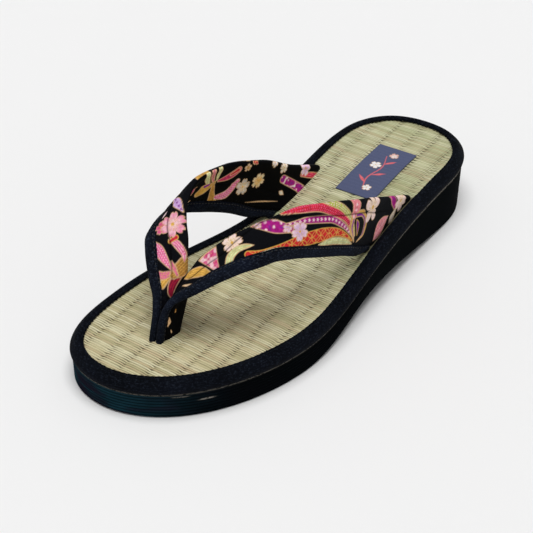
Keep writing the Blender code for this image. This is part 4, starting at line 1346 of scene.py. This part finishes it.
# A plain sprig: three leaves and three blossoms on a stem
LABEL_SPRIG = (
    (ribbon, ((-17.0, 1.5, 0.3), (-8.0, -1.0, 0.45), (3.0, 1.2, 0.4), (13.0, -1.5, 0.3)),
     "coral", "plain", "pale", "coral"),
    (ribbon, ((-12.0, 0.0, 0.3), (-9.75, -2.75, 0.9), (-7.5, -5.5, 0.2)), "coral", "plain", "pale", "coral"),
    (ribbon, ((-5.0, 0.0, 0.3), (-3.0, 2.75, 0.9), (-1.0, 5.5, 0.2)), "coral", "plain", "pale", "coral"),
    (ribbon, ((6.0, 0.8, 0.3), (8.25, 3.0, 0.9), (10.5, 5.2, 0.2)), "coral", "plain", "pale", "coral"),
    (blossom, 3.5, -2.5, 3.2, 20, "white", "white"),
    (blossom, -15.0, 2.8, 2.6, 50, "white", "white"),
    (blossom, 15.0, 1.5, 2.6, 0, "coral", "white"),
)


def make_label(sizes):
    """Thin woven label glued to the rush, with a small plain blossom sprig."""
    across, along = LABEL_COLUMNS, LABEL_ROWS
    u = np.linspace(-0.5, 0.5, across)[None, :] + np.zeros((along, 1))
    v = np.linspace(-0.5, 0.5, along)[:, None] + np.zeros((1, across))
    x = LABEL_ACROSS * WIDTH + u * LABEL_WIDTH
    y = y_at(LABEL_ALONG) + v * LABEL_LENGTH
    rim = np.minimum(0.5 - np.abs(u), (0.5 - np.abs(v)) * LABEL_LENGTH / LABEL_WIDTH) * LABEL_WIDTH
    ripple = LABEL_RIPPLE * (value_noise(x, y, LABEL_RIPPLE_PITCH, 21) - 0.5)
    ripple = ripple + LABEL_WAVE * np.sin(2.0 * np.pi * y / LABEL_WAVE_PITCH)
    lift = LABEL_THICK + ripple - LABEL_EDGE_DROP * (1.0 - smooth(rim, 0.0, LABEL_EDGE_REACH))
    top = np.stack([x, y, footbed_top(y) + GAP * 0.3 + lift], axis=-1)
    edge = [(i, 0) for i in range(along)] + [(along - 1, j) for j in range(1, across)]
    edge += [(i, across - 1) for i in range(along - 2, -1, -1)] + [(0, j) for j in range(across - 2, 0, -1)]
    low = np.array([[x[i, j], y[i, j], footbed_top(y[i, j]) + 0.04] for i, j in edge])
    points = np.vstack([top.reshape(-1, 3), low])
    faces = list(map(tuple, grid_faces(along, across, close_columns=False)))
    first = along * across
    loop = [i * across + j for i, j in edge]
    count = len(loop)
    for k in range(count):
        after = (k + 1) % count
        faces.append((loop[after], loop[k], first + k, first + after))
    faces.append(tuple(range(first, first + count)))
    piece = new_piece("heel_label_cloth", points, faces, label_cloth(), "label_cloth", "heel_label")
    cloth = Cloth(points[:, 1] - y_at(LABEL_ALONG), points[:, 0] - LABEL_ACROSS * WIDTH, tuple(sizes.colour))
    lay_print(cloth, LABEL_SPRIG)
    point_colours(piece, "dye", cloth.colour)
    return piece


# Studio

# The floor is flat round the sandal and rises far off, so that a low view still sees paper: radius and
# height in metres
FLOOR_SIDES = 64
FLOOR_RINGS = ((8.0, 0.0), (12.0, 0.3), (18.0, 1.4), (25.0, 3.8), (32.0, 7.6), (38.0, 12.6))
KEY_WIDTH = 42.0  # degrees
KEY_DIRECTION = (0.06, -0.10, 1.0)
# The view of the photograph, in degrees and millimetres
CAMERA_AZIMUTH, CAMERA_ELEVATION = 32.9, 36.1
CAMERA_AIM = (5.21, -24.65, 22.37)
CAMERA_DISTANCE = 593.3
FOCAL_PIXELS, FRAME_PIXELS = 1326.0, 533.0
SENSOR = 36.0
NEAREST, FARTHEST = 0.01, 200.0  # metres


def make_studio(look):
    """Pale floor that runs out of view, even light from all round and a broad soft lamp."""
    mesh = bpy.data.meshes.new("floor")
    turns = np.linspace(0.0, 2.0 * np.pi, FLOOR_SIDES, endpoint=False)
    rings = [np.column_stack([r * np.cos(turns), r * np.sin(turns), h + 0.0 * turns]) for r, h in FLOOR_RINGS]
    faces = [tuple(range(FLOOR_SIDES))] + list(map(tuple, grid_faces(len(rings), FLOOR_SIDES)[:, ::-1]))
    mesh.from_pydata(np.vstack(rings).tolist(), [], [tuple(map(int, face)) for face in faces])
    mesh.shade_smooth()
    floor = bpy.data.objects.new("floor", mesh)
    scene = bpy.context.scene
    scene.collection.objects.link(floor)
    # seamless paper: matt and even, with the faintest gloss
    material, _, shader = new_material("matt_paper")
    shader.inputs["Base Color"].default_value = (*tuple(look.paper), 1.0)
    shader.inputs["Roughness"].default_value = 0.95
    shader.inputs["Specular IOR Level"].default_value = 0.1
    mesh.materials.append(material)
    scene.world = bpy.data.worlds.new("studio")
    scene.world.use_nodes = True
    backdrop = scene.world.node_tree.nodes["Background"]
    backdrop.inputs["Color"].default_value = (1.0, 1.0, 1.0, 1.0)
    backdrop.inputs["Strength"].default_value = look.fill
    lamp = bpy.data.lights.new("key", "SUN")
    lamp.energy = look.key
    lamp.angle = np.radians(KEY_WIDTH)
    put_in_scene("key", lamp, Vector(KEY_DIRECTION).to_track_quat("Z", "Y"))
    scene.view_settings.view_transform = "Standard"
    scene.view_settings.look = "None"


def put_in_scene(name, data, turn):
    """Object for a lamp or a camera, turned as given."""
    holder = bpy.data.objects.new(name, data)
    holder.rotation_mode = "QUATERNION"
    holder.rotation_quaternion = turn
    bpy.context.scene.collection.objects.link(holder)
    return holder


def make_camera():
    """Camera at the photograph's place."""
    a, e = np.radians(CAMERA_AZIMUTH), np.radians(CAMERA_ELEVATION)
    back = Vector((np.sin(a) * np.cos(e), -np.cos(a) * np.cos(e), np.sin(e)))
    data = bpy.data.cameras.new("camera")
    data.sensor_width = SENSOR
    data.lens = SENSOR * FOCAL_PIXELS / FRAME_PIXELS
    data.clip_start, data.clip_end = NEAREST, FARTHEST
    camera = put_in_scene("camera", data, (-back).to_track_quat("-Z", "Y"))
    camera.location = (Vector(CAMERA_AIM) + back * CAMERA_DISTANCE) * MM
    bpy.context.scene.camera = camera


# Settings a user would change


def colour_setting(name, text, hex_colour):
    return bpy.props.FloatVectorProperty(
        name=name, description=text, subtype="COLOR", size=3, min=0.0, max=1.0, default=linear(hex_colour)
    )


def level_setting(name, text, level):
    return bpy.props.FloatProperty(name=name, description=text, default=level, min=0.0)


def size_setting(name, text, millimetres):
    return bpy.props.FloatProperty(
        name=name, description=text, default=millimetres * MM, min=0.0, unit="LENGTH", subtype="DISTANCE"
    )


class SoleSettings(bpy.types.PropertyGroup):
    """Foam sole."""

    foam_colour: colour_setting("Foam", "Colour of the moulded foam", "#030707")
    rib_depth: size_setting("Rib depth", "Depth of the grooves round the forefoot wall", 0.45)
    rib_count: bpy.props.IntProperty(name="Ribs", description="Ribs up the forefoot wall", default=7, min=1)


class FootbedSettings(bpy.types.PropertyGroup):
    """Woven rush."""

    stem_pitch: size_setting("Stem pitch", "From one rush stem to the next", 1.22)
    warp_pitch: size_setting("Warp pitch", "From one warp seam to the next", 11.25)
    pale: colour_setting("Dry rush", "Colour of the paler stems", "#d4d1ac")
    green: colour_setting("Green rush", "Colour of the greener stems", "#b9bf94")
    tan: colour_setting("Tan rush", "Colour of the browned stems", "#b79a78")


class TapeSettings(bpy.types.PropertyGroup):
    """Edge tape."""

    tape_colour: colour_setting("Tape", "Colour of the edge tape", "#06080d")
    stitch_pitch: size_setting("Stitch pitch", "From one stitch of the lip to the next", 2.7)


class StrapSettings(bpy.types.PropertyGroup):
    """Strap."""

    ground: colour_setting("Ground", "Colour of the cloth between the printed motifs", "#0b0c10")
    tape_colour: colour_setting("Tape", "Colour of the rolled tapes", "#0b0e16")
    crease_depth: size_setting("Crease depth", "Depth of the long crease of each band", 0.5)
    stitch_pitch: size_setting("Stitch pitch", "From one stitch of the tapes to the next", 2.0)


class LabelSettings(bpy.types.PropertyGroup):
    """Heel label."""

    colour: colour_setting("Label", "Colour of the label cloth", "#4b5271")


class StudioSettings(bpy.types.PropertyGroup):
    """Floor and light."""

    paper: colour_setting("Paper", "Colour of the floor", "#ececec")
    fill: level_setting("Fill", "Strength of the even light", 0.236)
    key: level_setting("Key", "Strength of the lamp", 2.47)


class SANDAL_OT_studio(bpy.types.Operator):
    """Make the floor, the lamp and the camera"""

    bl_idname = "sandal.studio"
    bl_label = "Studio"

    def execute(self, context):
        make_studio(context.scene.sandal_studio)
        make_camera()
        return {"FINISHED"}


class SANDAL_OT_sole(bpy.types.Operator):
    """Make the foam sole"""

    bl_idname = "sandal.sole"
    bl_label = "Foam sole"

    def execute(self, context):
        make_sole(context.scene.sandal_sole)
        return {"FINISHED"}


class SANDAL_OT_footbed(bpy.types.Operator):
    """Make the woven rush footbed"""

    bl_idname = "sandal.footbed"
    bl_label = "Rush footbed"

    def execute(self, context):
        make_footbed(context.scene.sandal_footbed)
        return {"FINISHED"}


class SANDAL_OT_edge_tape(bpy.types.Operator):
    """Make the tape round the rim"""

    bl_idname = "sandal.edge_tape"
    bl_label = "Edge tape"

    def execute(self, context):
        make_edge_tape(context.scene.sandal_tape)
        return {"FINISHED"}


class SANDAL_OT_strap(bpy.types.Operator):
    """Make both bands of the strap, their tapes and stitches"""

    bl_idname = "sandal.strap"
    bl_label = "Strap"

    def execute(self, context):
        sizes = context.scene.sandal_strap
        printed_crepe()
        tape_cloth("strap_tape_cloth", tuple(sizes.tape_colour), linear("#121826"), 0.4, 0.42)
        sewing_thread(linear("#040406"))
        for side in (1, -1):
            make_band(side, sizes)
            make_band_tape(side, sizes)
        return {"FINISHED"}


class SANDAL_OT_label(bpy.types.Operator):
    """Make the heel label"""

    bl_idname = "sandal.label"
    bl_label = "Heel label"

    def execute(self, context):
        make_label(context.scene.sandal_label)
        return {"FINISHED"}


class SANDAL_PT_pieces(bpy.types.Panel):
    """Lists the pieces of the sandal"""

    bl_idname = "SANDAL_PT_pieces"
    bl_label = "Zori sandal"
    bl_space_type = "VIEW_3D"
    bl_region_type = "UI"
    bl_category = "Sandal"

    def draw(self, context):
        for group, _, operator in GROUPS:
            box = self.layout.box()
            box.operator(operator.bl_idname)
            settings = getattr(context.scene, group)
            for name in settings.__annotations__:
                box.prop(settings, name)


GROUPS = (
    ("sandal_studio", StudioSettings, SANDAL_OT_studio),
    ("sandal_sole", SoleSettings, SANDAL_OT_sole),
    ("sandal_footbed", FootbedSettings, SANDAL_OT_footbed),
    ("sandal_tape", TapeSettings, SANDAL_OT_edge_tape),
    ("sandal_strap", StrapSettings, SANDAL_OT_strap),
    ("sandal_label", LabelSettings, SANDAL_OT_label),
)


def register():
    for group, settings, operator in GROUPS:
        bpy.utils.register_class(settings)
        bpy.utils.register_class(operator)
        setattr(bpy.types.Scene, group, bpy.props.PointerProperty(type=settings))
    bpy.utils.register_class(SANDAL_PT_pieces)


def unregister():
    bpy.utils.unregister_class(SANDAL_PT_pieces)
    for group, settings, operator in reversed(GROUPS):
        delattr(bpy.types.Scene, group)
        bpy.utils.unregister_class(operator)
        bpy.utils.unregister_class(settings)


def main():
    register()
    for _, _, operator in GROUPS:
        getattr(bpy.ops.sandal, operator.bl_idname.split(".")[1])()


if __name__ == "__main__":
    main()
